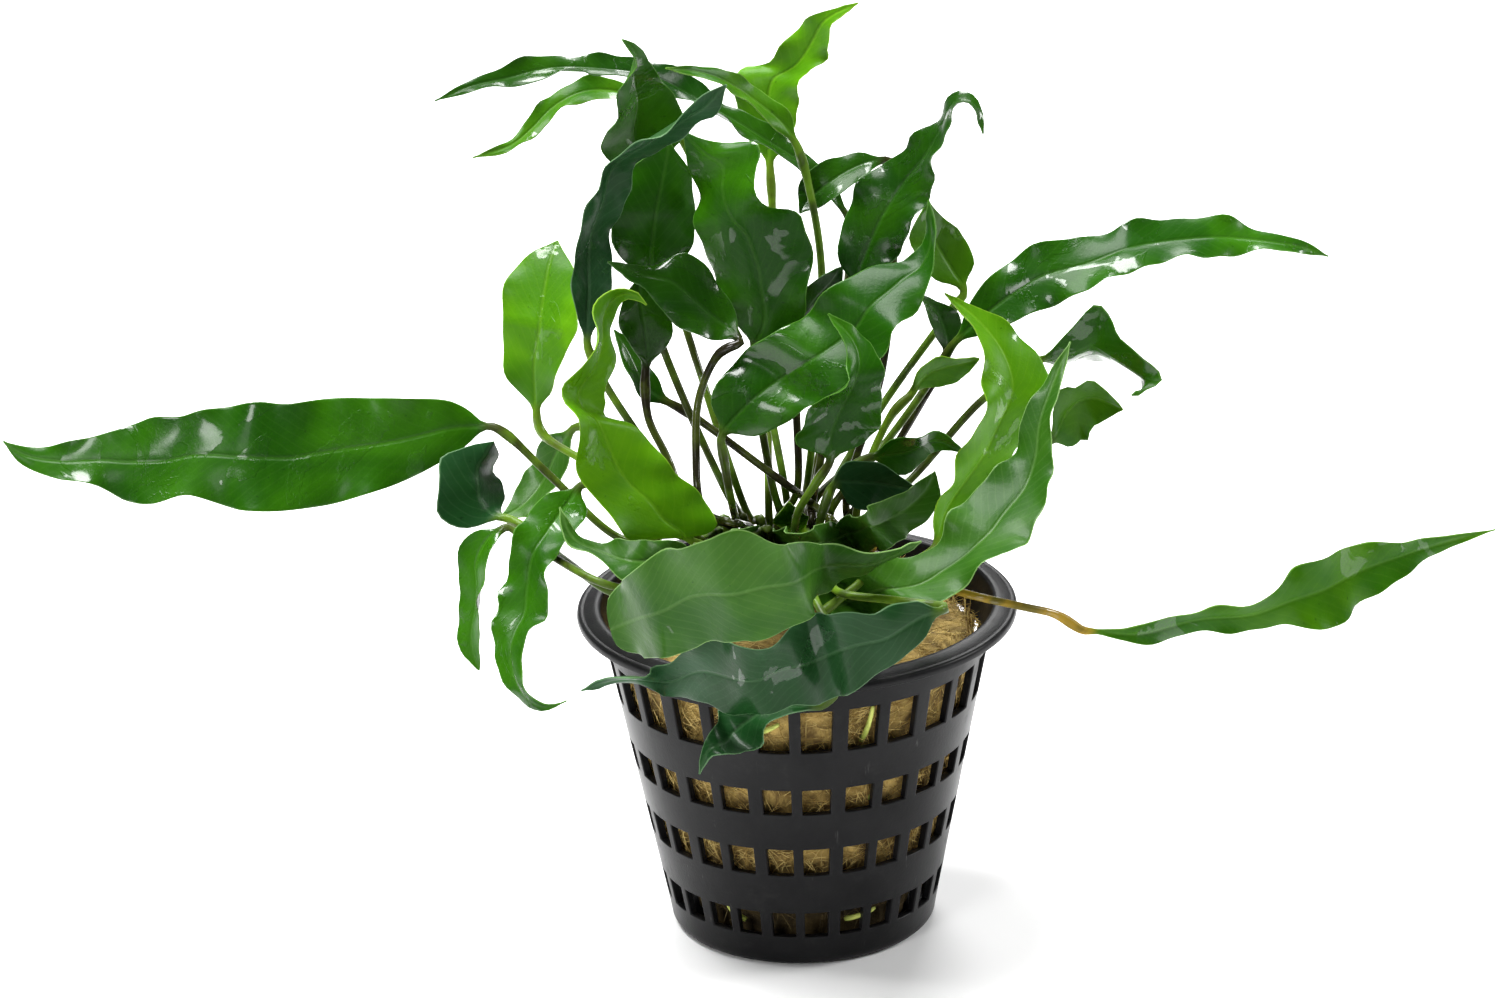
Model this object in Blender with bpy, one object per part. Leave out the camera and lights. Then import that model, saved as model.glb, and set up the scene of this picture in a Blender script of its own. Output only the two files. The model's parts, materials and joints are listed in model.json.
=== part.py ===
"""Potted water plant with long wavy leaves: a net pot, a wool plug, a creeping stem,
its roots and its leaves.

Run with: blender --background --python part.py

The tables are in millimetres and the scene is in metres. +Z is up and -Y is the show
side, with +X to its right. The origin is the centre of the pot's underside.
"""
from math import cos, pi, radians, sin

import bmesh
import bpy
import numpy as np
from mathutils import Vector
from mathutils.kdtree import KDTree

MM = 0.001

# Net pot: a thin tapered tub with a wide lip and rows of paired windows
POT_HEIGHT = 45.0
RIM_RADIUS = 29.0
MOUTH_RADIUS = 25.8
FOOT_RADIUS = 17.4
FOOT_ROUNDING = 1.5
WALL = 1.1
FLOOR = 1.4
LIP_THICKNESS = 1.3
LIP_SLOPE = 0.5
WINDOW_PAIRS = 13
WINDOW_ANGLE = 9.6
NARROW_BAR_ANGLE = 3.6
FIRST_BAR_ANGLE = -91.5
WINDOW_ROWS = ((4.6, 8.3), (14.3, 18.3), (23.8, 27.5), (33.3, 39.4))
FLOOR_SLOT = (7.5, 12.5)

# Wool plug: mineral wool pressed into the pot, with a slightly raised top
PLUG_CLEARANCE = 0.5
PLUG_FLOOR_GAP = 0.35
PLUG_EDGE_TOP = 40.5
PLUG_EDGE_ROUNDING = 1.2
PLUG_TOP = 42.3
PLUG_CROWN = ((18.0, 0.4), (13.0, 0.0))
PLUG_LEVELS = (6.0, 16.0, 26.0, 36.0, 39.5)
PLUG_SIDES = 32

# Rhizome: the thick creeping stem that the leaves and roots grow from
RHIZOME_POINTS = ((-13.5, 9.6, 47.0), (-8.0, 8.2, 46.7), (-1.0, 7.4, 46.4), (6.0, 6.2, 46.7),
                  (12.5, 5.2, 47.4))
RHIZOME_RADII = (2.2, 3.3, 3.6, 3.3, 2.0)
RHIZOME_END_RADII = (1.1, 1.0)
RHIZOME_LUMPS = (0.97, 0.88)
RHIZOME_RINGS = 9
RHIZOME_SIDES = 10

# Leaves. Their points are given across, up and near: millimetres to the right and up
# on an upright board through the middle of the rim, leaning back to face the viewer,
# and the distance by which the point is slid from that board towards the eye.
BOARD_TILT = radians(21.9)
EYE_DISTANCE = 658.0
STALK_RADIUS = 0.6
BLADE_THICKNESS = 0.6
TIP_THICKNESS = 0.4
RING_SIDES = 6
STALK_RING_STEP = 9.0
BLADE_RING_STEP = 6.4
CLEARANCE = 0.65
RISE_START = 14.0
RISE_NEAR = 0.25
LEAN_SHARE = 0.85
SEAT_ROWS = (-62.0, -18.0, 26.0, 70.0)
SEAT_GAP = 0.45
SEAT_RISE = 2.4
SETTLE_ROUNDS = 320
SETTLE_REACH = 1.5
SETTLE_STEP = 1.6
SETTLE_PUSH = 0.55
BLADE_ROOM = 0.25
LIP_ROOM = 0.2

# The leaves' greens: the colour and roughness of each, and the leaves that have it
GREENS = (
    ("leaf_bright", (0.14, 0.30, 0.03), 0.3,
     ("leaf_bright_wave", "leaf_bright_oval", "leaf_bright_twist", "leaf_dark_low",
      "leaf_pale_small", "leaf_pale_pointed", "leaf_young", "leaf_arch_under")),
    ("leaf_deep", (0.05, 0.12, 0.02), 0.28,
     ("leaf_far_left", "leaf_hooked_top", "leaf_broad_wet", "leaf_broad_pale",
      "leaf_dark_diagonal", "leaf_gable", "leaf_long_right", "leaf_top_back", "leaf_top_arch",
      "leaf_far_right", "leaf_crumpled_right", "leaf_thread_tip", "leaf_glint")),
    ("leaf_satin", (0.11, 0.17, 0.09), 0.45,
     ("leaf_front_broad", "leaf_front_right", "leaf_grey_left", "leaf_rim_back",
      "leaf_front_lowest", "leaf_rim_left")),
    ("leaf_dark", (0.035, 0.06, 0.04), 0.32,
     ("leaf_dark_curl", "leaf_left_twist", "leaf_left_tail", "leaf_long_arch",
      "leaf_dark_sweep", "leaf_dark_point", "leaf_dark_hidden", "leaf_left_point",
      "leaf_small_upright", "leaf_front_low", "leaf_long_thread", "leaf_dark_back",
      "leaf_dark_stub")),
)

# Each leaf: its name, the stalk from the rhizome outwards as (across, up, near), the
# depths (near) of the blade's base, middle and tip, how far the left margin stands
# nearer than the right one, then both margins from base to tip as (across, up).
LEAVES = (
    ("leaf_far_left", ((-22.7, 8.4, 6), (-31.9, 16.8, 6), (-37.9, 22.7, 5)), (5, 8, 0), -3,
     ((-39.8, 23.7), (-44.6, 27), (-52, 27.6), (-61, 27.9), (-66.2, 27.1), (-70.4, 27.6),
      (-76.6, 26.8), (-80.4, 25.8), (-85, 25.8), (-90.6, 23.9), (-96, 22.7), (-100.6, 22.4),
      (-104.1, 23.2)),
     ((-39.8, 23.7), (-44.6, 20.2), (-49.8, 17.4), (-57, 14.8), (-66, 13.2), (-72, 13.1),
      (-76.4, 14.5), (-80, 15.4), (-84.6, 14.3), (-88.4, 15.1), (-91.6, 16.9), (-97.4, 18.1),
      (-102.2, 20.4), (-104.1, 23.2))),
    ("leaf_dark_curl", ((-23.1, 1.1, 22), (-30.5, 5.9, 15), (-35.8, 10.3, 10)), (9, 8, 4), 5,
     ((-38.1, 11.6), (-42.4, 10.7), (-46.3, 12.3), (-46.2, 16.2), (-46.2, 18.7), (-44, 20.2),
      (-41.9, 21.3), (-39.4, 21.6)),
     ((-38.1, 11.6), (-38.4, 13.2), (-37.6, 15.2), (-38.5, 17.6), (-38.2, 19.6), (-39.4, 21.6))),
    ("leaf_left_twist", ((-16, 1, 27), (-25, 2.5, 24), (-33, 7, 18)), (15, 15, 13), 3,
     ((-38, 10.4), (-39.8, 7.2), (-40.6, 3.9), (-41.4, 0.1), (-41.6, -3.6), (-41.6, -6.3),
      (-42, -8.4)),
     ((-38, 10.4), (-42.2, 9.6), (-44.3, 6.5), (-43.8, 3.6), (-43.6, 0.9), (-44.6, -3.5),
      (-44.1, -5.9), (-42, -8.4))),
    ("leaf_grey_left", ((-13, 12, 0), (-19, 18, -7), (-25.2, 22.8, -11)), (-13, -15, -10), 3,
     ((-28.9, 23.2), (-29.4, 19), (-32, 14.2), (-35, 11.7), (-38.9, 11.4)),
     ((-28.9, 23.2), (-32.6, 22), (-35, 17.4), (-37.2, 14), (-38.9, 11.4))),
    ("leaf_left_tail", ((-13, 8.5, 13), (-19, 12.5, 15), (-25, 15.8, 15)), (15, 20, 27), 2,
     ((-28.4, 15.5), (-27.2, 12.4), (-29.2, 8.8), (-32.4, 5.4), (-32.4, 1), (-33.6, -2.6),
      (-36, -5.6), (-36.3, -9), (-35, -12), (-32.8, -13.4), (-30.6, -12.7)),
     ((-28.4, 15.5), (-33, 14.3), (-36.6, 9.4), (-38, 4.4), (-39, 1.6), (-38.8, -0.8),
      (-40.2, -3), (-39.5, -7.6), (-37.6, -11.4), (-34.8, -13.8), (-30.6, -12.7))),
    ("leaf_bright_wave", ((-8.6, 5.5, 15), (-11.5, 7, 17)), (18, 19, 12), 4,
     ((-14.5, 8.4), (-22.5, 8.6), (-24.6, 11.6), (-28.2, 16.6), (-29.3, 21), (-28.8, 24.6),
      (-30.3, 28.4), (-27.6, 31.4), (-26.4, 35), (-25.8, 38.8), (-23.2, 41.4), (-20.6, 41.2),
      (-18.9, 39.2)),
     ((-14.5, 8.4), (-10.4, 9.6), (-12.4, 14.2), (-16.6, 17.4), (-19.8, 22.4), (-22.2, 24.1),
      (-25, 24.8), (-25.9, 27.6), (-23.8, 30.6), (-23, 33.4), (-23.6, 37), (-22.4, 39.8),
      (-20.2, 40), (-18.9, 39.2))),
    ("leaf_rim_left", ((-6, 3.6, 18), (-9, 4, 20)), (21, 22, 20), 2,
     ((-12, 4.6), (-17, 3.4), (-22.6, 3), (-26, 5.6), (-30.4, 8.6), (-30.9, 12.8)),
     ((-12, 4.6), (-15, 7.6), (-19.5, 8.2), (-24.8, 7.8), (-28.6, 9.2), (-30.9, 12.8))),
    ("leaf_front_broad", ((-3, 1.4, 21), (-10, -1.4, 23.5), (-18, -3.4, 25)), (28, 33, 31), 6,
     ((-22.6, -3.2), (-24.8, -1.6), (-24.9, 0.6), (-20.6, 4.8), (-15.8, 7), (-11.6, 7.8),
      (-9.4, 8.5), (-6.4, 8.7), (-1.6, 7.3), (2, 7.5), (5.4, 6.4), (9.4, 5.7), (13.6, 6.4),
      (16.6, 7.2)),
     ((-22.6, -3.2), (-24.2, -5.2), (-22.6, -6.7), (-19.4, -7.2), (-15.4, -7.4),
      (-11.8, -5.4), (-8.8, -5.4), (-6, -6.2), (-2.6, -5), (1.6, -2.4), (3.4, 0.4),
      (6, 2.4), (10.2, 3.2), (16.6, 7.2))),
    ("leaf_bright_oval", ((-19, 12, 4.6), (-27, 18.4, 0), (-33.1, 22.7, -4)), (-4, -2, -9), -4,
     ((-33.7, 25.2), (-37.1, 30.1), (-37.9, 36), (-37.3, 41.6), (-35.1, 45.7), (-30.4, 47.9)),
     ((-33.7, 25.2), (-31.3, 28.5), (-29.9, 32.2), (-28.1, 36.6), (-27.9, 43), (-30.4, 47.9))),
    ("leaf_long_arch", ((2, 13, -6), (5, 26, -12), (7.6, 41, -14)), (-13, -12, -2), 3,
     ((8, 50), (5.4, 52.8), (1.6, 56.4), (-3.1, 59.5), (-9, 63.7), (-15.5, 67),
      (-22, 69.3), (-29.1, 69.8), (-35, 68.4), (-40.1, 68), (-46.2, 66.8)),
     ((8, 50), (5.9, 55.3), (1.6, 59.4), (-4, 63.2), (-9.4, 66.4), (-16.4, 71), (-23, 71.7),
      (-33.2, 72.2), (-37.2, 70.8), (-41.5, 69.4), (-46.2, 66.8))),
    ("leaf_arch_under", ((-1, 13, -4), (-4, 30, -13), (-9, 50, -18)), (-18, -15, -6), 2,
     ((-16, 64.6), (-22, 66.2), (-27.2, 66), (-30.4, 64.2), (-33.4, 61.4), (-36.6, 59.8),
      (-41.3, 59.2)),
     ((-16, 64.6), (-20, 68), (-25.4, 69.3), (-30.7, 67.3), (-33.6, 64.4), (-36.4, 61.4),
      (-41.3, 59.2))),
    ("leaf_hooked_top", ((-6, 11, -1), (-12, 30, -9), (-17, 48, -12)), (-11, -6, 3), 4,
     ((-18.6, 55.6), (-24.9, 60.2), (-23.2, 64.9), (-21.8, 68.8), (-20, 71.4), (-21.3, 74.3)),
     ((-18.6, 55.6), (-14.6, 61), (-14.6, 66.4), (-17.4, 69.8), (-19, 73.2), (-21.3, 74.3))),
    ("leaf_dark_sweep", ((-13, 10.4, 7), (-19, 20, 7), (-24.6, 29, 6)), (5, 9, 12), 3,
     ((-26.8, 34.1), (-28.4, 38.8), (-28.4, 48.2), (-26.1, 52.8), (-24.8, 57.6), (-20, 60.4),
      (-15, 63.3), (-10.6, 67), (-7.7, 68)),
     ((-26.8, 34.1), (-24.2, 40), (-23.6, 47.2), (-22, 53), (-20.6, 57), (-16, 60.2),
      (-12, 63.2), (-9, 64.2), (-7.7, 68))),
    ("leaf_broad_wet", ((-9, 14.5, 3), (-14, 26, 1), (-17.6, 36, 0)), (0, 2, 0), 3,
     ((-18.6, 42), (-22.8, 46.6), (-23, 52.6), (-20.4, 57.2), (-15.4, 60.7)),
     ((-18.6, 42), (-13.8, 44.6), (-12, 50.6), (-12.4, 56), (-15.4, 60.7))),
    ("leaf_broad_pale", ((-2.6, 14, 2), (-4, 22, 3), (-4.8, 29, 3)), (3, 5, 1), -4,
     ((-5, 33.2), (-8.6, 38.4), (-10.6, 43), (-11.8, 48.5), (-12.6, 54), (-13.2, 58.5),
      (-13.6, 61.9)),
     ((-5, 33.2), (1.4, 36.4), (2.7, 42), (2.8, 45.4), (1.9, 48), (0.8, 50.4), (-2.4, 51.9),
      (-4, 54.8), (-4.1, 57.4), (-3.4, 59.8), (-8.5, 60.2), (-13.6, 61.9))),
    ("leaf_dark_point", ((-14.2, 13, 9), (-16.6, 19, 8), (-18.9, 24, 7), (-19.3, 27.3, 6)),
     (5, 5, 4), 2,
     ((-19.2, 30.7), (-21.6, 34.4), (-22.9, 37.4), (-21.8, 40.6), (-20, 42.6)),
     ((-19.2, 30.7), (-16.8, 33.3), (-15.7, 37), (-17.4, 40.6), (-20, 42.6))),
    ("leaf_dark_hidden", ((4.3, 10.8, 4), (-4.5, 17.8, 3), (-12.8, 24.2, 1)), (0, 0, -2), 2,
     ((-16.1, 26.2), (-18.8, 26.2), (-20.5, 27.6), (-22.2, 31.4), (-23.2, 36)),
     ((-16.1, 26.2), (-17.2, 28.6), (-18.6, 31), (-20.4, 34), (-23.2, 36))),
    ("leaf_left_point", ((-12.3, 12.6, 14), (-12.8, 19.7, 12), (-12.2, 26.9, 10),
                         (-9.4, 32.6, 10)), (9, 9, 10), 3,
     ((-6.4, 34.2), (-11.6, 34.5), (-15.5, 36.9), (-19.6, 41.2), (-23.9, 45)),
     ((-6.4, 34.2), (-7.3, 38.4), (-10.3, 43), (-13.6, 45.7), (-18.7, 44.4), (-23.9, 45))),
    ("leaf_dark_diagonal", ((-7.9, 11.2, 11), (-9, 17.4, 12)), (12, 15, 8), -4,
     ((-9.4, 22), (-10.6, 26.4), (-8, 31), (-4.9, 33.4), (1.4, 37.1), (7.4, 41.8),
      (12.2, 44.1), (15.4, 43.9), (17.6, 45.8), (18.2, 49), (18.6, 52.2)),
     ((-9.4, 22), (-5, 21.5), (-1, 23.2), (4.5, 26.2), (11, 30.4), (12.9, 31.8), (14, 35),
      (17, 38.3), (19, 42.4), (19.7, 47), (18.6, 52.2))),
    ("leaf_small_upright", ((0.5, 11.6, 15), (2.9, 15.2, 17)), (18, 20, 18), 3,
     ((5, 18.3), (0.2, 20.6), (1.6, 24.6), (6.6, 28.4), (7.4, 31.6), (5, 37.5)),
     ((5, 18.3), (9, 20.2), (11.6, 24.8), (11.5, 29.7), (9.6, 34.6), (5, 37.5))),
    ("leaf_dark_low", ((3.4, 10.4, 8), (4.4, 13.4, 7)), (6, 6, 6), 2,
     ((5.2, 15.2), (6, 17.6), (9.6, 18.3), (13, 16.8), (17, 13.6)),
     ((5.2, 15.2), (7.4, 12.2), (10.6, 11.9), (13.8, 12.6), (17, 13.6))),
    ("leaf_rim_back", ((-7.6, 7.6, 14), (-10.4, 7.2, 15)), (14, 13, 8), 4,
     ((-13.4, 7.2), (-6.6, 9.6), (1.4, 9.4), (8, 11.4), (14.4, 14.2), (18.6, 16.4)),
     ((-13.4, 7.2), (-6, 5.6), (2, 4.8), (9.6, 6.2), (16, 8.8), (19, 13), (18.6, 16.4))),
    ("leaf_thread_tip", ((3, 13.4, 3), (6.5, 16.4, 3)), (2, 2, 0), 2,
     ((10.1, 18.5), (12.5, 20.6), (16.6, 21.5), (20, 21.4), (22.4, 18.9)),
     ((10.1, 18.5), (13.4, 16.2), (16.4, 16.9), (17.8, 19.2), (22.4, 18.9))),
    ("leaf_gable", ((9, 9.6, 4), (16, 16, -2), (25, 25.6, -4)), (-4, -3, 2), 4,
     ((32.4, 30.6), (36.6, 33.9), (40.2, 36.7), (42.6, 33.4), (45.9, 30.3), (48.1, 27.6),
      (44.7, 25.8)),
     ((32.4, 30.6), (37, 29.2), (41, 30), (44.2, 28.6), (46.2, 26.8), (44.7, 25.8))),
    ("leaf_crumpled_right", ((10.6, 9.2, 7), (18, 12, 2), (27, 16.8, -5)), (-7, -7, -4), 3,
     ((34, 20.1), (34.4, 25.4), (38.2, 28.6), (41.6, 26.6), (43.5, 23.9)),
     ((34, 20.1), (36, 19), (38.7, 21.5), (41, 22.6), (43.5, 23.9))),
    ("leaf_bright_twist", ((12, 4, 13), (15.8, 4.6, 12.6)), (12, 10, 4), 4,
     ((18.4, 6.4), (18.2, 10.6), (20, 15.3), (22.6, 20.2), (25, 26), (24.9, 31), (23.6, 35.4),
      (20.4, 39.8)),
     ((18.4, 6.4), (22.7, 12.2), (28.4, 17.4), (31.2, 22.4), (33.6, 27.8), (31.6, 32.6),
      (26.2, 36.7), (20.4, 39.8))),
    ("leaf_long_right", ((5.4, 12.6, -2), (12.6, 20.8, -6), (18.4, 28.5, -8)), (-8, -6, -14), -4,
     ((21.5, 33.2), (24.1, 38.9), (30.6, 45), (37.8, 46.6), (45.8, 48.3), (54.7, 49.1),
      (62.9, 47), (68, 45.4), (71, 43.5)),
     ((21.5, 33.2), (28.2, 35.1), (35.2, 38.2), (40.7, 40), (46, 42.6), (53.9, 43.5),
      (62.5, 44.3), (71, 43.5))),
    ("leaf_pale_small", ((8.2, 11.6, 1), (10.2, 18.4, -2), (13.4, 24.4, -4)), (-5, -7, -7), 2,
     ((15.7, 26.6), (16.2, 29.4), (19.4, 31.6), (24.8, 31.1)),
     ((15.7, 26.6), (18.6, 27.7), (22.4, 28.6), (24.8, 31.1))),
    ("leaf_pale_pointed", ((4.6, 13.2, -3), (12, 25.4, -12), (20, 36, -14)), (-15, -15, -13), 2,
     ((23.1, 40.2), (19.1, 41.6), (16, 46.2), (16.4, 49), (18.6, 52)),
     ((23.1, 40.2), (24.3, 43.8), (22.6, 47.9), (20.4, 49.9), (18.6, 52))),
    ("leaf_front_right", ((8.6, 2.2, 21), (5, -0.6, 23.4), (2.6, -2.6, 24.6)), (26, 25, 11), -4,
     ((3, -3), (2, 0.6), (6.6, 3), (12, 4.4), (17.4, 5.9), (19.8, 7.6), (21, 11), (24.6, 14),
      (27.4, 16.6), (29.6, 20), (31.4, 25), (36.8, 33)),
     ((3, -3), (8, -3.2), (14, -1.8), (19.8, -1), (22.4, 1.6), (26, 4.2), (29.8, 5.4),
      (31.4, 8.6), (33.6, 12), (34.2, 16.4), (34, 20.6), (35.2, 26), (36.8, 33))),
    ("leaf_front_low", ((6, 0.6, 24), (14, -0.6, 31), (19.4, -1.6, 34)), (36, 40, 34), -5,
     ((18.9, -2), (17, -5), (13.6, -8.4), (9.6, -10.7), (5.4, -13), (2, -14.1), (-1.4, -13.6),
      (-5.6, -15.3), (-9, -14.9), (-12.4, -12.8), (-16.6, -13), (-20.6, -10.6), (-25, -10.9),
      (-28.6, -11.4)),
     ((18.9, -2), (16.4, -0.6), (12.8, -1.2), (10.6, -2.1), (5, -1.5), (0.4, -3), (-3.4, -5.3),
      (-6.4, -6.3), (-10.8, -5), (-14, -5.7), (-17.4, -8.2), (-20.6, -9.6), (-24.6, -9.5),
      (-28.6, -11.4))),
    ("leaf_front_lowest", ((2.4, 0, 23), (5, -6, 30.5), (5, -12, 33)), (33, 33, 30), 2,
     ((2.6, -14.2), (-1.6, -15.4), (-4.4, -17.2), (-5.4, -19.4), (-8, -20.6), (-11.6, -20.4),
      (-13.3, -22.7)),
     ((2.6, -14.2), (-4, -12.6), (-10.2, -13.4), (-11, -16.6), (-12.6, -18.8),
      (-13.3, -22.7))),
    ("leaf_young", ((1.6, 7, 13), (1.2, 8, 13)), (12.5, 12, 12), 1,
     ((0.6, 8.8), (-1.6, 9), (-3.2, 10.4), (-0.7, 12.8)),
     ((0.6, 8.8), (1.9, 9.8), (1.2, 11.6), (-0.7, 12.8))),
    ("leaf_top_back", ((-3.4, 12.6, -4), (-3, 30, -18), (-2, 48, -25)), (-26, -26, -20), -3,
     ((-2.2, 57.2), (-5.8, 62.4), (-6.2, 67.6), (-5.4, 70.4), (-1.8, 70.7), (0.4, 73.4),
      (2.6, 76.2), (5.2, 77.2), (9.9, 78.4)),
     ((-2.2, 57.2), (1, 60.8), (1.8, 65.8), (3.5, 69.2), (5.2, 70.8), (6.5, 73.2),
      (6.6, 75.4), (9.9, 78.4))),
    ("leaf_top_arch", ((1.4, 13.4, -2), (4.3, 42.1, -7), (2.8, 54.6, -6)), (-6, -5, 2), 2,
     ((1.4, 59.8), (-2.3, 62.6), (-6, 66.2), (-10.4, 68.6), (-15.6, 70.4)),
     ((1.4, 59.8), (0.6, 63.8), (-3.6, 67.2), (-9, 70.2), (-15.6, 70.4))),
    ("leaf_long_thread", ((2.6, 13.8, 4), (6.4, 30, 2)), (2, 4, 10), -4,
     ((8.9, 40.4), (6.9, 44), (7.8, 51), (11.7, 56.4), (15.8, 59), (19.7, 62.6),
      (22.4, 66.2), (25.4, 64.8), (26, 60.7)),
     ((8.9, 40.4), (13.9, 44.5), (17.6, 50.3), (19.3, 54.4), (20.7, 59.5), (21.9, 63.4),
      (23.6, 64.8), (25, 63.6), (26, 60.7))),
    ("leaf_dark_back", ((6.8, 12.8, -4), (12, 30, -10), (14, 48, -12)), (-10, -8, -6), 2,
     ((13.4, 57.6), (9.6, 55), (5.4, 51.8), (1.6, 50.8)),
     ((13.4, 57.6), (9.6, 58.6), (4.8, 57.2), (1.6, 54.4), (1.6, 50.8))),
    ("leaf_glint", ((0.4, 14.4, 1), (0.6, 27, -1)), (-2, -1, 0), 2,
     ((1.6, 37), (1.6, 40.4), (4.2, 42.6), (7, 43.6)),
     ((1.6, 37), (4.8, 38), (6.8, 40.4), (7, 43.6))),
    ("leaf_dark_stub", ((7.4, 10.8, -2), (13.6, 20, -9), (19, 28.8, -11)), (-11, -11, -9), 2,
     ((20.4, 31.6), (18.6, 34.6), (17.4, 39.6)),
     ((20.4, 31.6), (22.3, 34), (21.6, 37.4), (17.4, 39.6))),
    ("leaf_far_right", ((10.2, 5.6, 12), (21, 0.6, 22), (29.3, -1.6, 23.5), (34.2, -2.9, 21)),
     (20, 17, 8), 1.8,
     ((37.6, -5), (44, -4.7), (48.8, -3.3), (54, -2.4), (60.4, -1.5), (66.8, 3.2), (72.4, 5.3),
      (79, 5.9), (86, 6.4), (92, 7)),
     ((37.6, -5), (46.3, -6.9), (52.9, -5.4), (59.4, -5.4), (64, -5), (70.5, -5), (75, -1.8),
      (80, 1.6), (86, 4.8), (92, 7))),
)


def on_board(across, up, near):
    """Board points, in millimetres, as places in the part's own axes."""
    face = np.array((0.0, -cos(BOARD_TILT), sin(BOARD_TILT)))
    rise = np.array((0.0, sin(BOARD_TILT), cos(BOARD_TILT)))
    middle = np.array((0.0, 0.0, POT_HEIGHT))
    eye = middle + EYE_DISTANCE * face
    flat = middle + np.multiply.outer(across, np.array((1.0, 0.0, 0.0))) + np.multiply.outer(up, rise)
    return flat + (eye - flat) * (np.asarray(near)[..., None] / EYE_DISTANCE)


def to_board(places):
    """The reverse of on_board: across, up and near of places in the part's own axes."""
    face = np.array((0.0, -cos(BOARD_TILT), sin(BOARD_TILT)))
    rise = np.array((0.0, sin(BOARD_TILT), cos(BOARD_TILT)))
    offset = np.asarray(places) - np.array((0.0, 0.0, POT_HEIGHT))
    near = offset @ face
    spread = 1.0 - near / EYE_DISTANCE
    return np.stack((offset[..., 0] / spread, offset @ rise / spread, near), axis=-1)


def smooth_path(points, samples):
    """Places at equal steps along a soft curve through the points."""
    points = np.asarray(points, float)
    chords = np.sqrt(np.linalg.norm(np.diff(points, axis=0), axis=1)) + 1e-6
    knots = np.concatenate(((0.0,), np.cumsum(chords)))
    slopes = np.gradient(points, knots, axis=0)
    fine = np.linspace(0.0, knots[-1], 40 * len(points))
    cell = np.clip(np.searchsorted(knots, fine, side="right") - 1, 0, len(points) - 2)
    width = (knots[cell + 1] - knots[cell])[:, None]
    t = (fine - knots[cell])[:, None] / width
    curve = ((2 * t**3 - 3 * t**2 + 1) * points[cell] + (t**3 - 2 * t**2 + t) * width * slopes[cell]
             + (3 * t**2 - 2 * t**3) * points[cell + 1] + (t**3 - t**2) * width * slopes[cell + 1])
    run = np.concatenate(((0.0,), np.cumsum(np.linalg.norm(np.diff(curve, axis=0), axis=1))))
    wanted = np.asarray(samples) * run[-1]
    return np.stack([np.interp(wanted, run, curve[:, k]) for k in range(points.shape[1])], axis=-1)


def stand_up(places):
    """Bring the higher places nearer, so that the plant stands upright over its pot."""
    places = np.array(places, float)
    places[:, 2] += RISE_NEAR * np.maximum(places[:, 1] - RISE_START, 0.0)
    return places


def path_length(points):
    return float(np.linalg.norm(np.diff(np.asarray(points, float), axis=0), axis=1).sum())


def soften(values, passes):
    """Average each value with its neighbours, keeping the first one."""
    for _ in range(passes):
        inner = (values[:-2] + 2 * values[1:-1] + values[2:]) / 4
        values = np.concatenate((values[:1], inner, (values[-1:] + values[-2:-1]) / 2))
    return values


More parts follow.
